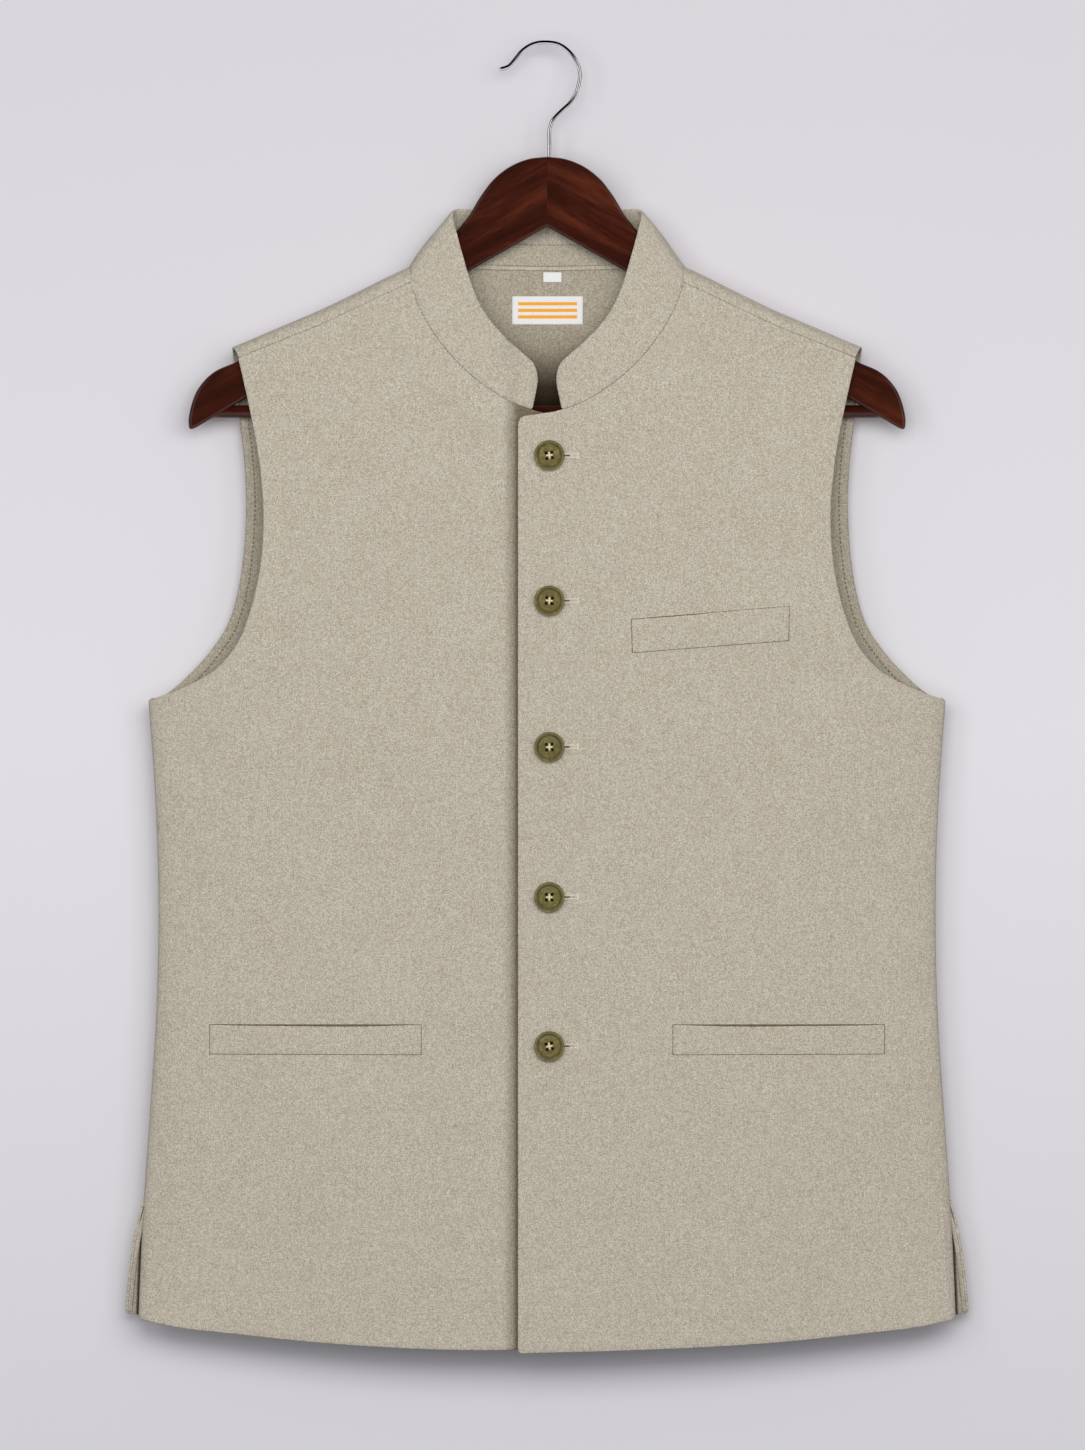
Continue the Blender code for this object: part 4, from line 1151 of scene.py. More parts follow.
def holes_mesh():
    """Cutters for the thread holes, flared a little where they meet the face."""
    bm = bmesh.new()
    half = BUTTON_HOLE_SPACING / 2
    for dx in (-half, half):
        for dy in (-half, half):
            bmesh.ops.create_cone(
                bm,
                cap_ends=True,
                segments=20,
                radius1=BUTTON_HOLE_RADIUS * MM,
                radius2=BUTTON_HOLE_RADIUS * 1.25 * MM,
                depth=8 * MM,
                matrix=Matrix.Translation(Vector((dx, dy, 1.5)) * MM),
            )
    mesh = bpy.data.meshes.new("holes")
    bm.to_mesh(mesh)
    bm.free()
    return mesh


def applied(obj):
    """The object's mesh with its modifiers applied."""
    graph = bpy.context.evaluated_depsgraph_get()
    mesh = bpy.data.meshes.new_from_object(obj.evaluated_get(graph))
    obj.modifiers.clear()
    obj.data = mesh
    return obj


def cut_with(obj, *meshes):
    cutters = []
    for mesh in meshes:
        cutter = bpy.data.objects.new("cutter", mesh)
        bpy.context.scene.collection.objects.link(cutter)
        boolean = obj.modifiers.new("Cut", "BOOLEAN")
        boolean.object = cutter
        cutters.append(cutter)
    applied(obj)
    for cutter in cutters:
        bpy.data.objects.remove(cutter)
    return obj


def button_form():
    mesh = button_mesh("button")
    obj = bpy.data.objects.new("button", mesh)
    bpy.context.scene.collection.objects.link(obj)
    cut_with(obj, holes_mesh())
    form = obj.data
    bpy.data.objects.remove(obj)
    form.shade_smooth()
    form.set_sharp_from_angle(angle=math.radians(40))
    form.materials.clear()
    form.materials.append(bpy.data.materials["resin"])
    return form


def button_place(level):
    x, z = np.array(BUTTON_X), np.array(level)
    base = lifted(front_y, x, z, BUTTON_STAND_OFF, -1)
    facing = Vector(lifted(front_y, x, z, 1.0, -1) - lifted(front_y, x, z, 0.0, -1))
    turn = facing.to_track_quat("Z", "Y").to_matrix().to_4x4()
    return Matrix.Translation(Vector(base) * MM) @ turn


def button_thread(place):
    """Two crossed bars of thread over the button's face."""
    reach = BUTTON_HOLE_SPACING / 2 + 0.7
    top = 2.05
    starts, ends = [], []
    for shift in (-0.32, 0.0, 0.32):
        starts += [(-reach, shift, top), (shift, -reach, top + 0.25)]
        ends += [(reach, shift, top), (shift, reach, top + 0.25)]
    normals = np.tile([0.0, 0.0, 1.0], (len(starts), 1))
    points, quads, places = stitch_parts(np.array(starts), np.array(ends), normals, 0.3, 1.6)
    turn = np.array(place.to_3x3())
    return points @ turn.T + np.array(place.translation) / MM, quads, places


def button_shank(place):
    """The wound thread behind the button, a domed pad coloured near-black as painted shade, so that it
    shows through the holes as their shade.
    """
    turns, rings = 24, 5
    rise = np.linspace(0, math.pi / 2, rings)
    points = []
    for a in rise:
        for k in range(turns):
            turn = 2 * math.pi * k / turns
            radius = SHANK_RADIUS * math.cos(a) + 0.05
            height = -0.75 + 0.7 * math.sin(a)
            points.append((radius * math.cos(turn), radius * math.sin(turn), height))
    points = np.array(points)
    index = np.arange(rings * turns).reshape(rings, turns)
    a, b = index[:-1], np.roll(index[:-1], -1, axis=1)
    c, d = np.roll(index[1:], -1, axis=1), index[1:]
    quads = np.stack([a, b, c, d], axis=-1).reshape(-1, 4)
    places = points[:, :2]
    turned = np.array(place.to_3x3())
    return points @ turned.T + np.array(place.translation) / MM, quads, places


def buttons():
    form = button_form()
    threads, shanks = [], []
    for number, level in enumerate(BUTTON_LEVELS, 1):
        name = f"button_{number}"
        mesh = form.copy()
        place = button_place(level)
        spin = Matrix.Rotation(math.radians((7, -5, 3, 0, 11)[number - 1]), 4, "Z")
        mesh.transform(place @ spin)
        obj = bpy.data.objects.new(name + "_looks", mesh)
        bpy.context.scene.collection.objects.link(obj)
        settle(obj, "button_resin", name)
        threads.append(button_thread(place @ spin))
        shanks.append(button_shank(place))
    stitch_object("button_threads", threads, "button_thread", "button_resin")
    stitch_object("button_shanks", shanks, "shank_thread", "button_resin")


# ---------------------------------------------------------------- hanger and hook


def arm_outline():
    """(x, z) round the arm: its top and tip as smooth runs, its underside straight."""
    top = at_shares(curve_through(ARM_OUTLINE[: ARM_BEAK_START + 1]), np.linspace(0, 1, 110))
    beak = at_shares(curve_through(ARM_OUTLINE[ARM_BEAK_START:-1]), np.linspace(0, 1, 60))[1:]
    under = edge_line(ARM_OUTLINE[-1], (0.0, APEX), 60)
    outline = np.vstack([top, beak, under])
    past = outline[[0, -1]] - (MITRE_SPARE, 0)
    return np.vstack([past[:1], outline, past[1:]])


def cut_at_mitre(bm, side):
    """Leaves a flat, unrounded face where the two arms are glued."""
    bmesh.ops.bisect_plane(
        bm,
        geom=[*bm.verts, *bm.edges, *bm.faces],
        plane_co=(side * MITRE_GAP / 2 * MM, 0, 0),
        plane_no=(-side, 0, 0),
        clear_outer=True,
    )
    open_edges = [edge for edge in bm.edges if edge.is_boundary]
    bmesh.ops.contextual_create(bm, geom=open_edges)


def hanger_arm(name, side):
    curve = bpy.data.curves.new(name, "CURVE")
    curve.dimensions = "2D"
    curve.fill_mode = "BOTH"
    curve.extrude = (ARM_THICKNESS / 2 - ARM_ROUNDING) * MM
    curve.bevel_depth = ARM_ROUNDING * MM
    curve.bevel_resolution = 6
    curve.offset = -ARM_ROUNDING * MM
    spline = curve.splines.new("POLY")
    outline = arm_outline()
    spline.points.add(len(outline) - 1)
    for point, (x, z) in zip(spline.points, outline):
        point.co = (side * x * MM, z * MM, 0, 1)
    spline.use_cyclic_u = True
    flat = bpy.data.objects.new(name + "_outline", curve)
    bpy.context.scene.collection.objects.link(flat)
    graph = bpy.context.evaluated_depsgraph_get()
    mesh = bpy.data.meshes.new_from_object(flat.evaluated_get(graph))
    bpy.data.objects.remove(flat)
    bm = bmesh.new()
    bm.from_mesh(mesh)
    bmesh.ops.remove_doubles(bm, verts=bm.verts, dist=1e-6)
    cut_at_mitre(bm, side)
    bmesh.ops.recalc_face_normals(bm, faces=bm.faces)
    bm.to_mesh(mesh)
    bm.free()
    mesh.transform(Matrix.Rotation(math.pi / 2, 4, "X"))
    mesh.materials.clear()
    mesh.materials.append(bpy.data.materials["mahogany"])
    obj = bpy.data.objects.new(name + "_looks", mesh)
    bpy.context.scene.collection.objects.link(obj)
    reach = BAR_HALF_LENGTH + SEAM_GAP
    bore = rod_mesh((-reach, 0, BAR_LEVEL), (reach, 0, BAR_LEVEL), BAR_RADIUS + BORE_CLEARANCE)
    shank = rod_mesh((SHANK_X, 0, SHANK_END), (SHANK_X, 0, CROWN_TOP + 10), WIRE_RADIUS + SHANK_CLEARANCE)
    cut_with(obj, bore, shank)
    obj.data.shade_smooth()
    obj.data.set_sharp_from_angle(angle=math.radians(38))
    return settle(obj, "hanger_wood", name)


def rod_mesh(start, end, radius):
    bm = bmesh.new()
    middle = (Vector(start) + Vector(end)) / 2
    along = Vector(end) - Vector(start)
    bmesh.ops.create_cone(
        bm,
        cap_ends=True,
        segments=48,
        radius1=radius * MM,
        radius2=radius * MM,
        depth=along.length * MM,
        matrix=Matrix.Translation(middle * MM) @ along.to_track_quat("Z", "Y").to_matrix().to_4x4(),
    )
    mesh = bpy.data.meshes.new("rod")
    bm.to_mesh(mesh)
    bm.free()
    return mesh


def tube(name, points, radii, sides, material):
    """A round wire along points in the XZ plane, with a radius for each and domed ends."""
    path = np.array(points, float)
    along = unit(np.gradient(path, axis=0))
    across = np.array([0.0, 1.0, 0.0])
    spoke = np.cross(along, across)
    rings = []
    for k in range(sides):
        turn = 2 * math.pi * k / sides
        rings.append(path + radii[:, None] * (spoke * math.cos(turn) + across * math.sin(turn)))
    grid = np.stack(rings, axis=1)
    count = len(path)
    index = np.arange(count * sides).reshape(count, sides)
    a, b = index[:-1], np.roll(index[:-1], -1, axis=1)
    c, d = np.roll(index[1:], -1, axis=1), index[1:]
    quads = np.stack([a, b, c, d], axis=-1).reshape(-1, 4)
    lengths = length_shares(path) * np.linalg.norm(np.diff(path, axis=0), axis=1).sum()
    turn = np.linspace(0, 2 * math.pi * radii.max(), sides)
    places = np.stack(np.broadcast_arrays(turn[None, :], lengths[:, None]), axis=-1)
    obj = make_object(name, (grid.reshape(-1, 3), quads, places.reshape(-1, 2)), material)
    bm = bmesh.new()
    bm.from_mesh(obj.data)
    open_edges = [e for e in bm.edges if e.is_boundary]
    bmesh.ops.holes_fill(bm, edges=open_edges, sides=sides)
    bmesh.ops.recalc_face_normals(bm, faces=bm.faces)
    bm.to_mesh(obj.data)
    bm.free()
    return obj


def domed(points, radius, steps=6):
    """Path and radii of a wire whose far end is rounded off."""
    path = np.array(points, float)
    tip = unit(path[-1:] - path[-2:-1])[0]
    turn = np.linspace(0, math.pi / 2, steps + 1)[1:]
    cap = path[-1] + tip * (radius * np.sin(turn))[:, None]
    radii = np.concatenate([np.full(len(path), radius), radius * np.cos(turn)])
    radii[-1] = radius * 0.05
    return np.vstack([path, cap]), radii


def hook():
    shank = edge_line(HOOK[0], HOOK[2], 12)
    bend = at_shares(curve_through(HOOK[2:]), np.linspace(0, 1, 220))
    flat = bands(shank, bend)
    path = np.stack([flat[:, 0], 0 * flat[:, 0], flat[:, 1]], axis=-1)
    path, radii = domed(path, WIRE_RADIUS)
    obj = tube("hook_looks", path, radii, 24, bpy.data.materials["chrome"])
    return settle(obj, "hook_chrome", "hook")


def trouser_bar():
    ends = ((-BAR_HALF_LENGTH, 0, BAR_LEVEL), (BAR_HALF_LENGTH, 0, BAR_LEVEL))
    path = edge_line(*ends, 60)
    radii = np.full(len(path), BAR_RADIUS)
    obj = tube("trouser_bar_looks", path, radii, 40, bpy.data.materials["bar_mahogany"])
    return settle(obj, "hanger_wood", "trouser_bar")


# ---------------------------------------------------------------- materials


class Nodes:
    """A short way to add nodes to a material and link them."""

    def __init__(self, name):
        self.material = bpy.data.materials.new(name)
        self.material.use_nodes = True
        self.tree = self.material.node_tree
        self.shader = self.tree.nodes["Principled BSDF"]

    def add(self, kind, settings=None, **inputs):
        node = self.tree.nodes.new(kind)
        for key, value in (settings or {}).items():
            setattr(node, key, value)
        for key, value in inputs.items():
            place = int(key[1:]) if key[1:].isdigit() else key.replace("_", " ")
            self.put(node.inputs[place], value)
        return node

    def put(self, socket, value):
        if isinstance(value, bpy.types.NodeSocket):
            self.tree.links.new(value, socket)
        else:
            socket.default_value = value

    def math(self, operation, a, b=0.0, c=0.0):
        return self.add("ShaderNodeMath", {"operation": operation}, i0=a, i1=b, i2=c).outputs[0]

    def noise(self, vector, scale, detail=2.0, roughness=0.5, distortion=0.0):
        node = self.add(
            "ShaderNodeTexNoise",
            Vector=vector,
            Scale=scale,
            Detail=detail,
            Roughness=roughness,
            Distortion=distortion,
        )
        return node.outputs["Fac"]

    def combine(self, x, y, z=0.0):
        return self.add("ShaderNodeCombineXYZ", X=x, Y=y, Z=z).outputs[0]

    def split(self, vector):
        node = self.add("ShaderNodeSeparateXYZ", Vector=vector)
        return node.outputs[0], node.outputs[1], node.outputs[2]

    def white(self, x, y):
        flat = {"noise_dimensions": "2D"}
        node = self.add("ShaderNodeTexWhiteNoise", flat, Vector=self.combine(x, y))
        return node.outputs["Value"]

    def ramp(self, factor, *stops):
        node = self.add("ShaderNodeValToRGB", Fac=factor)
        band = node.color_ramp
        while len(band.elements) < len(stops):
            band.elements.new(0.5)
        for element, (place, colour) in zip(band.elements, stops):
            element.position = place
            element.color = (*colour, 1)
        return node.outputs["Color"]

    def weighted(self, start, *terms):
        """start plus each weight times how far its value is from a half."""
        total = start
        for value, weight in terms:
            total = self.math("ADD", total, self.math("MULTIPLY_ADD", value, weight, -weight / 2))
        return total

    def share_between(self, value, start, end):
        """0 at start and 1 at end, and no more or less beyond them."""
        scale = 1 / (end - start)
        moved = self.math("MULTIPLY_ADD", value, scale, -start * scale)
        return self.math("MINIMUM", self.math("MAXIMUM", moved, 0.0), 1.0)

    def times(self, a, b):
        return self.add("ShaderNodeVectorMath", {"operation": "MULTIPLY"}, i0=a, i1=b).outputs[0]

    def bump(self, height, distance, strength=1.0, normal=None):
        node = self.add("ShaderNodeBump", Height=height, Distance=distance, Strength=strength)
        if normal is not None:
            self.put(node.inputs["Normal"], normal)
        return node.outputs["Normal"]

    def set(self, **inputs):
        for key, value in inputs.items():
            self.put(self.shader.inputs[key.replace("_", " ")], value)


# (share of the way into the shadow, tone of the cloth there)
NECK_TONES = ((0.0, 1.0), (0.45, 0.86), (0.68, 0.46), (0.85, 0.17), (1.0, 0.07))
LAP_TONES = ((0.0, 1.0), (0.3, 0.9), (0.6, 0.68), (0.85, 0.44), (1.0, 0.36))
VENT_TONES = ((0.0, 1.0), (0.5, 0.45), (1.0, 0.16))
THREAD = 0.00056
FIBRE_RUN = 0.0013


def thread_pattern(n, u, v):
    """Tone and height of a plain weave of flecked threads."""
    over_u = n.math("DIVIDE", u, THREAD)
    over_v = n.math("DIVIDE", v, THREAD)
    column = n.math("FLOOR", over_u)
    row = n.math("FLOOR", over_v)
    warp_on_top = n.math("MODULO", n.math("ABSOLUTE", n.math("ADD", column, row)), 2.0)
    warp_run = n.math("FLOOR", n.math("DIVIDE", v, FIBRE_RUN))
    weft_run = n.math("FLOOR", n.math("DIVIDE", u, FIBRE_RUN))
    warp_tone = n.white(column, warp_run)
    weft_tone = n.white(n.math("ADD", row, 91.7), weft_run)
    tone = n.add("ShaderNodeMix", i0=warp_on_top, i2=weft_tone, i3=warp_tone).outputs[0]
    warp_round = n.math("SINE", n.math("MULTIPLY", n.math("FRACT", over_u), math.pi))
    weft_round = n.math("SINE", n.math("MULTIPLY", n.math("FRACT", over_v), math.pi))
    height = n.add("ShaderNodeMix", i0=warp_on_top, i2=weft_round, i3=warp_round).outputs[0]
    return tone, height


def warm_tones(tones):
    """Ramp stops whose darker tones are also browner, as light between layers of cloth is."""
    return [(place, (tone, tone**1.1, tone**1.25)) for place, tone in tones]


def neck_shadow(n):
    """Tint of the back's inside, which darkens downwards in the narrow gap at the neck."""
    x, _, z = n.split(n.add("ShaderNodeTexCoord").outputs["Object"])
    low = n.share_between(z, -0.168, -0.236)
    middle = n.share_between(n.math("ABSOLUTE", x), 0.09, 0.05)
    deep = n.math("MULTIPLY", low, middle)
    return n.ramp(deep, *warm_tones(NECK_TONES))


def lap_shadow(n):
    """Tint of the under front, which darkens beside the edge that lies on it."""
    x, _, _ = n.split(n.add("ShaderNodeTexCoord").outputs["Object"])
    near = n.share_between(x, -0.0282, -0.0187)
    return n.ramp(near, *warm_tones(LAP_TONES))


def vent_shadow(n):
    """Tint of the back's inside between the vents, dark beside the front's edge."""
    x, _, z = n.split(n.add("ShaderNodeTexCoord").outputs["Object"])
    flare = n.math("MULTIPLY_ADD", z, 0.0434, 0.0434 * 0.762 - 0.266)
    past_front = n.math("ADD", n.math("ABSOLUTE", x), flare)
    near = n.share_between(past_front, 0.0026, 0.0013)
    return n.ramp(near, *warm_tones(VENT_TONES))


def suiting(name, dark, middle, light, roughness, shadow=None):
    """Flecked greyish-beige cloth, from threads up to the faint mottling of the piece."""
    n = Nodes(name)
    u, v, _ = n.split(n.add("ShaderNodeUVMap", {"uv_map": "weave"}).outputs[0])
    tone, height = thread_pattern(n, u, v)
    place = n.combine(u, v)
    fleck = n.noise(place, 1450.0, 0.0)
    mottle = n.noise(place, 300.0, 1.0, 0.5)
    cloud = n.noise(place, 24.0, 2.0, 0.5)
    slub = n.noise(n.combine(n.math("MULTIPLY", u, 800.0), n.math("MULTIPLY", v, 40.0)), 1.0, 0.0)
    fine_tones = ((tone, 0.75), (fleck, 0.85))
    broad_tones = ((mottle, 0.08), (slub, 0.12), (cloud, 0.1))
    factor = n.weighted(0.5, *fine_tones, *broad_tones)
    colour = n.ramp(factor, (0.0, dark), (0.5, middle), (1.0, light))
    # Painted shade, where given, multiplies the cloth's colour
    if shadow:
        colour = n.times(colour, shadow(n))
    fine = n.bump(height, 0.00012, 0.55)
    grain = n.bump(fleck, 0.0004, 0.35, fine)
    n.set(
        Base_Color=colour,
        Roughness=n.math("MULTIPLY_ADD", tone, 0.1, roughness),
        Normal=grain,
    )
    n.set(Specular_IOR_Level=0.18, Sheen_Weight=0.12, Sheen_Roughness=0.5)
    return n.material


def wood(name, along_x):
    """Dark stained mahogany: grain that follows the arm, fine pores and a lacquer coat."""
    n = Nodes(name)
    x, y, z = n.split(n.add("ShaderNodeTexCoord").outputs["Object"])
    far = n.math("ABSOLUTE", x)
    side = n.math("MULTIPLY", n.math("SIGN", x), 0.37)
    angle = 0.0 if along_x else math.radians(28)
    c, s = math.cos(angle), math.sin(angle)
    run = n.math("ADD", n.math("MULTIPLY", far, c), n.math("MULTIPLY", z, -s))
    across = n.math("ADD", n.math("MULTIPLY", far, s), n.math("MULTIPLY", z, c))
    wide = n.combine(
        n.math("MULTIPLY_ADD", run, 7.0, side),
        n.math("MULTIPLY", across, 60.0),
        n.math("MULTIPLY", y, 60.0),
    )
    figure = n.noise(wide, 1.0, 4.0, 0.62, 0.6)
    drawn_out = n.combine(n.math("MULTIPLY", run, 110.0), n.math("MULTIPLY", across, 1500.0), y)
    pores = n.noise(drawn_out, 1.0, 2.0, 0.6)
    factor = n.weighted(0.42, (figure, 1.5), (pores, 0.5))
    colour = n.ramp(
        factor,
        (0.0, (0.009, 0.0016, 0.0009)),
        (0.42, (0.040, 0.0068, 0.0026)),
        (0.68, (0.090, 0.018, 0.006)),
        (1.0, (0.19, 0.050, 0.015)),
    )
    n.set(
        Base_Color=colour,
        Roughness=n.math("MULTIPLY_ADD", pores, 0.18, 0.3),
        Normal=n.bump(pores, 0.00005, 0.3),
    )
    n.set(Specular_IOR_Level=0.12, Coat_Weight=0.7, Coat_Roughness=0.09)
    return n.material


def chrome(name):
    n = Nodes(name)
    place = n.add("ShaderNodeTexCoord").outputs["Object"]
    smear = n.noise(place, 160.0, 3.0, 0.6)
    colour = n.ramp(smear, (0.3, (0.80, 0.80, 0.82)), (0.7, (0.93, 0.93, 0.95)))
    n.set(
        Base_Color=colour,
        Roughness=n.math("MULTIPLY_ADD", smear, 0.1, 0.08),
        Normal=n.bump(smear, 0.00002, 0.05),
    )
    n.set(Metallic=1.0)
    return n.material


def resin(name):
    """Olive resin with a faint swirl."""
    n = Nodes(name)
    place = n.add("ShaderNodeTexCoord").outputs["Object"]
    swirl = n.noise(place, 260.0, 4.0, 0.65, 1.4)
    grain = n.noise(place, 1900.0, 2.0, 0.5)
    factor = n.weighted(0.5, (swirl, 1.3), (grain, 0.35))
    colour = n.ramp(
        factor,
        (0.0, (0.055, 0.043, 0.008)),
        (0.5, (0.14, 0.114, 0.029)),
        (1.0, (0.31, 0.27, 0.10)),
    )
    n.set(
        Base_Color=colour,
        Roughness=n.math("MULTIPLY_ADD", grain, 0.16, 0.26),
        Normal=n.bump(grain, 0.00005, 0.4),
    )
    n.set(Specular_IOR_Level=0.8, Coat_Weight=0.8, Coat_Roughness=0.1)
    return n.material


def thread(name, dark, light):
    n = Nodes(name)
    place = n.add("ShaderNodeTexCoord").outputs["Object"]
    twist = n.noise(place, 3200.0, 2.0, 0.6)
    n.set(
        Base_Color=n.ramp(twist, (0.3, dark), (0.7, light)),
        Roughness=n.math("MULTIPLY_ADD", twist, 0.2, 0.55),
        Normal=n.bump(twist, 0.0001, 0.5),
    )
    return n.material


def label_tape(name, stripes):
    """White woven tape. The stripes are a plain filler where a maker's name would be."""
    n = Nodes(name)
    u, v, _ = n.split(n.add("ShaderNodeUVMap", {"uv_map": "weave"}).outputs[0])
    column = n.math("FLOOR", n.math("DIVIDE", u, 0.00022))
    row = n.math("FLOOR", n.math("DIVIDE", v, 0.00028))
    tone = n.white(column, row)
    ground = n.ramp(tone, (0.0, (0.70, 0.70, 0.70)), (1.0, (0.86, 0.86, 0.85)))
    colour = ground
    if stripes:
        orange = n.ramp(tone, (0.0, (0.80, 0.33, 0.018)), (1.0, (0.93, 0.42, 0.035)))
        within = n.math("LESS_THAN", n.math("ABSOLUTE", u), 0.0195)
        band = n.math("MODULO", n.math("ADD", n.math("ABSOLUTE", v), 0.0011), 0.0044)
        on_band = n.math("LESS_THAN", band, 0.0022)
        reach = n.math("LESS_THAN", n.math("ABSOLUTE", v), 0.0058)
        inked = n.math("MULTIPLY", n.math("MULTIPLY", within, on_band), reach)
        mix = n.add("ShaderNodeMix", {"data_type": "RGBA"}, i0=inked, i6=ground, i7=orange)
        colour = mix.outputs[2]
    n.set(
        Base_Color=colour,
        Roughness=n.math("MULTIPLY_ADD", tone, 0.15, 0.5),
        Normal=n.bump(tone, 0.00006, 0.4),
    )
    return n.material


def make_materials():
    outside = ((0.318, 0.271, 0.203), (0.478, 0.430, 0.352), (0.665, 0.62, 0.53))
    suiting("cloth", *outside, 0.82)
    # The under front's cloth, with painted shade beside the other front's edge
    suiting("cloth_under", *outside, 0.82, lap_shadow)
    # The back's inside between the vents, with painted shade beside the front's edge
    suiting("vent_inside", *outside, 0.82, vent_shadow)
    # A darker copy of the cloth for the facings and the collar's strip: painted shade
    suiting("cloth_inside", (0.27, 0.232, 0.17), (0.42, 0.375, 0.295), (0.58, 0.53, 0.44), 0.84)
    # The back's inside: a darker copy of the cloth as painted shade, with more painted shade down the
    # neck gap
    inside = ((0.255, 0.218, 0.16), (0.385, 0.34, 0.27), (0.54, 0.495, 0.41))
    suiting("back_inside", *inside, 0.84, neck_shadow)
    # A very dark copy of the cloth, for sheets of painted shade in the welts' mouths and the buttonholes'
    # slits
    suiting("cloth_shade", (0.085, 0.064, 0.038), (0.15, 0.118, 0.075), (0.21, 0.17, 0.115), 0.9)
    thread("stitch_pale", (0.60, 0.55, 0.45), (0.82, 0.78, 0.68))
    thread("buttonhole_thread", (0.62, 0.58, 0.48), (0.86, 0.82, 0.72))
    thread("stitch_dark", (0.17, 0.14, 0.09), (0.3, 0.26, 0.18))
    # The shank's thread, near-black as painted shade for the button's holes
    thread("shank_thread", (0.012, 0.01, 0.006), (0.03, 0.025, 0.015))
    thread("button_thread", (0.60, 0.54, 0.30), (0.84, 0.78, 0.54))
    resin("resin")
    label_tape("label_tape", True)
    label_tape("tag_tape", False)
    wood("mahogany", False)
    wood("bar_mahogany", True)
    chrome("chrome")


# ---------------------------------------------------------------- stage, light and camera


WALL_Y = 0.0185
FLOOR_Z = -1.5
STAGE_HALF_WIDTH = 6.0
STAGE_TOP = 3.0
STAGE_FRONT = -7.0
SWEEP_RADIUS = 0.4


def backdrop_material():
    """Pale paint with painted shade: darkest at the top, and a little darker lower down than in the
    middle. Its back isn't seen, so nothing hides the jacket.
    """
    n = Nodes("backdrop")
    _, _, z = n.split(n.add("ShaderNodeTexCoord").outputs["Object"])
    grain = n.noise(n.add("ShaderNodeTexCoord").outputs["Object"], 900.0, 2.0)
    height = n.math("MULTIPLY_ADD", z, 1.0, 0.95)
    # Painted shade: the paint darkens towards the top and, a little, towards the bottom
    factor = n.weighted(height, (grain, 0.06))
    colour = n.ramp(
        factor,
        (0.05, (0.668, 0.654, 0.698)),
        (0.5, (0.718, 0.703, 0.748)),
        (0.95, (0.640, 0.624, 0.662)),
    )
    n.set(Base_Color=colour, Roughness=0.9, Specular_IOR_Level=0.1)
    facing = n.add("ShaderNodeNewGeometry").outputs["Backfacing"]
    clear = n.add("ShaderNodeBsdfTransparent").outputs[0]
    mix = n.add("ShaderNodeMixShader", i0=facing, i1=n.shader.outputs[0], i2=clear)
    n.tree.links.new(mix.outputs[0], n.tree.nodes["Material Output"].inputs["Surface"])
    return n.material


def backdrop():
    """A wall close behind the jacket that sweeps down into a floor."""
    turn = np.linspace(0, math.pi / 2, 13)
    profile = [(WALL_Y, STAGE_TOP)]
    for a in turn:
        y = WALL_Y - SWEEP_RADIUS * (1 - math.cos(a))
        z = FLOOR_Z + SWEEP_RADIUS * (1 - math.sin(a))
        profile.append((y, z))
    profile.append((STAGE_FRONT, FLOOR_Z))
    points = [(x, y, z) for y, z in profile for x in (-STAGE_HALF_WIDTH, STAGE_HALF_WIDTH)]
    faces = [(2 * i, 2 * i + 1, 2 * i + 3, 2 * i + 2) for i in range(len(profile) - 1)]
    mesh = bpy.data.meshes.new("backdrop")
    mesh.from_pydata(points, [], faces)
    if mesh.polygons[0].normal.y > 0:
        mesh.flip_normals()
    mesh.shade_smooth()
    mesh.materials.append(backdrop_material())
    obj = bpy.data.objects.new("backdrop", mesh)
    bpy.context.scene.collection.objects.link(obj)
    obj.visible_diffuse = False
    obj.visible_shadow = False


def area_light(name, place, size, power, colour, in_reflections=False):
    """A soft light aimed at the jacket's middle."""
    target = Vector((0, 0, -0.45))
    data = bpy.data.lights.new(name, "AREA")
    data.shape = "RECTANGLE"
    data.size, data.size_y = size
    data.energy = power
    data.color = colour
    obj = bpy.data.objects.new(name, data)
    obj.location = place
    obj.rotation_euler = (target - Vector(place)).to_track_quat("-Z", "Y").to_euler()
    obj.visible_glossy = in_reflections
    bpy.context.scene.collection.objects.link(obj)


def light_the_stage():
    """A soft light above the front, a fill, side strips, and a light for the back."""
    world = bpy.data.worlds.new("studio")
    world.use_nodes = True
    background = world.node_tree.nodes["Background"]
    background.inputs["Color"].default_value = (0.93, 0.95, 1.0, 1)
    background.inputs["Strength"].default_value = 0.27
    world.cycles_visibility.glossy = False
    bpy.context.scene.world = world
    warm = (1.0, 0.985, 0.96)
    area_light("key", (0.3, -3.0, 0.6), (2.4, 1.5), 48, warm)
    area_light("fill", (-0.5, -3.3, -0.3), (2.8, 2.4), 29, warm)
    area_light("strip_left", (-1.6, -2.2, 0.1), (0.7, 1.8), 10, warm, in_reflections=True)
    area_light("strip_right", (1.6, -2.2, 0.1), (0.7, 1.8), 10, warm, in_reflections=True)
    area_light("behind", (0.6, 3.0, 1.4), (2.6, 2.0), 45, warm, in_reflections=True)
    bpy.context.scene.view_settings.view_transform = "Standard"


LENS = 600.0
FIELD_HEIGHT = 0.957
CAMERA_TARGET = (-0.003, 0.0, -0.449)
SENSOR = 36.0


def camera():
    data = bpy.data.cameras.new("camera")
    data.lens = LENS
    data.sensor_width = SENSOR
    obj = bpy.data.objects.new("camera", data)
    distance = FIELD_HEIGHT * LENS / SENSOR
    x, y, z = CAMERA_TARGET
    obj.location = (x, y - distance, z)
    obj.rotation_euler = (math.pi / 2, 0, 0)
    data.clip_end = 50
    bpy.context.scene.collection.objects.link(obj)
    bpy.context.scene.camera = obj


# ---------------------------------------------------------------- assembly


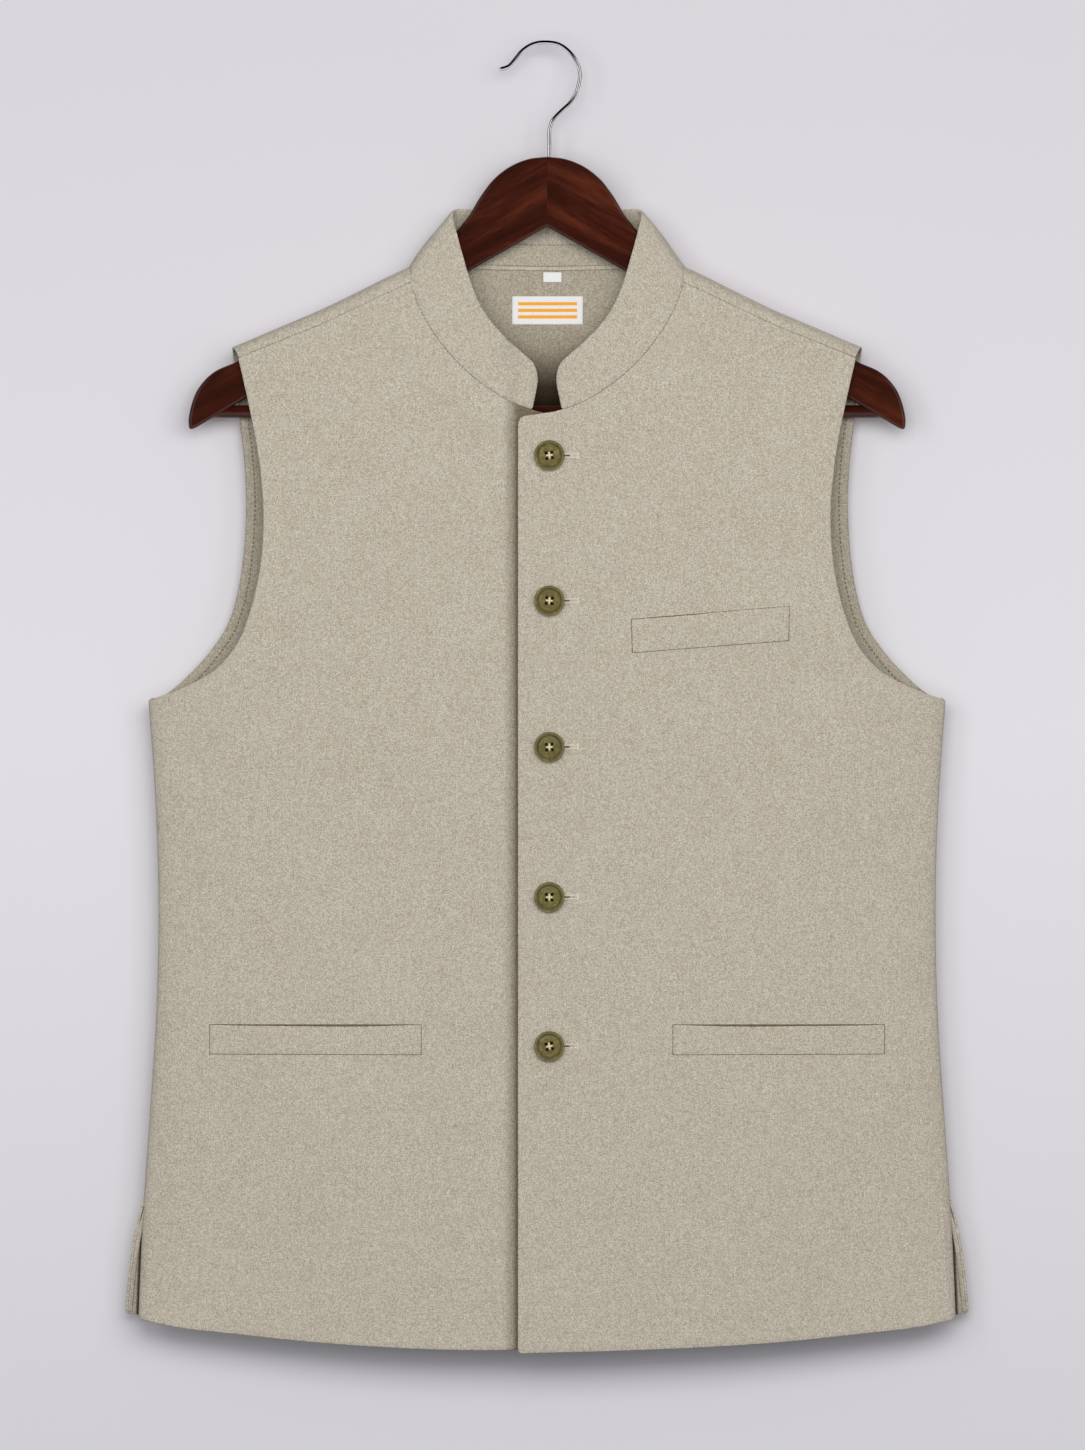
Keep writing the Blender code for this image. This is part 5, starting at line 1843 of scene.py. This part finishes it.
def jacket():
    left = front_grids(False)
    right = front_grids(True)
    back_left = back_grids(left[0][-1], 1)
    back_right = back_grids(right[0][-1], -1)
    collar_left = collar_half(left, back_left, False)
    collar_right = collar_half(right, back_right, True)
    fronts = [
        settle(front_panel("front_left_looks", left, False), "suiting", "front_left"),
        settle(front_panel("front_right_looks", right, True), "suiting", "front_right"),
    ]
    back = settle(back_panel("back_looks", back_left, back_right), "suiting", "back")
    band = settle(collar("collar_looks", collar_left, collar_right), "suiting", "collar")
    strip = collar_inner_strip("collar_strip_looks", collar_left)
    settle(strip, "suiting_inside", "collar_inner_strip")
    hems = make_object("vent_hems", joined(vent_hem(1), vent_hem(-1)), bpy.data.materials["cloth"])
    settle(hems, "suiting")
    return collar_left


def trims(collar_left):
    welts = [
        (welt("chest_welt", CHEST_WELT, False, CHEST_SAG), (0.104, 0.022), 0.0022),
        (welt("pocket_welt_left", POCKET_WELT, False, POCKET_SAG), (0.14, 0.019), 0.0026),
        (welt("pocket_welt_right", POCKET_WELT, True, POCKET_SAG), (0.14, 0.019), 0.0026),
    ]
    for name, side in (("armhole_facing_left", 1), ("armhole_facing_right", -1)):
        facing = armhole_facing(name, side)
    tape = label("main_label", MAIN_LABEL, "label_tape")
    size_tag("size_tag")
    outside = [armhole_topstitch(False), armhole_topstitch(True)]
    outside += [vent_topstitch(False), vent_topstitch(True)]
    stitch_object("front_topstitch", outside, "stitch_pale", "suiting")
    inside = [facing_stitch(1), facing_stitch(-1), vent_hem_stitch(1), vent_hem_stitch(-1)]
    stitch_object("facing_stitches", inside, "stitch_dark", "suiting_inside")
    stitch_object("strip_stitches", strip_stitches(collar_left), "stitch_dark", "suiting_inside")
    holes = [part for level in BUTTON_LEVELS for part in buttonhole(level)]
    stitch_object("buttonholes", holes, "buttonhole_thread", "suiting")
    # The slits are sheets of painted shade
    slits = [buttonhole_slit(level) for level in BUTTON_LEVELS]
    stitch_object("buttonhole_slits", slits, "cloth_shade", "suiting_inside")
    buttons()


def hanger():
    hanger_arm("hanger_arm_left", 1)
    hanger_arm("hanger_arm_right", -1)
    trouser_bar()
    hook()


make_materials()
backdrop()
trims(jacket())
hanger()
light_the_stage()
camera()
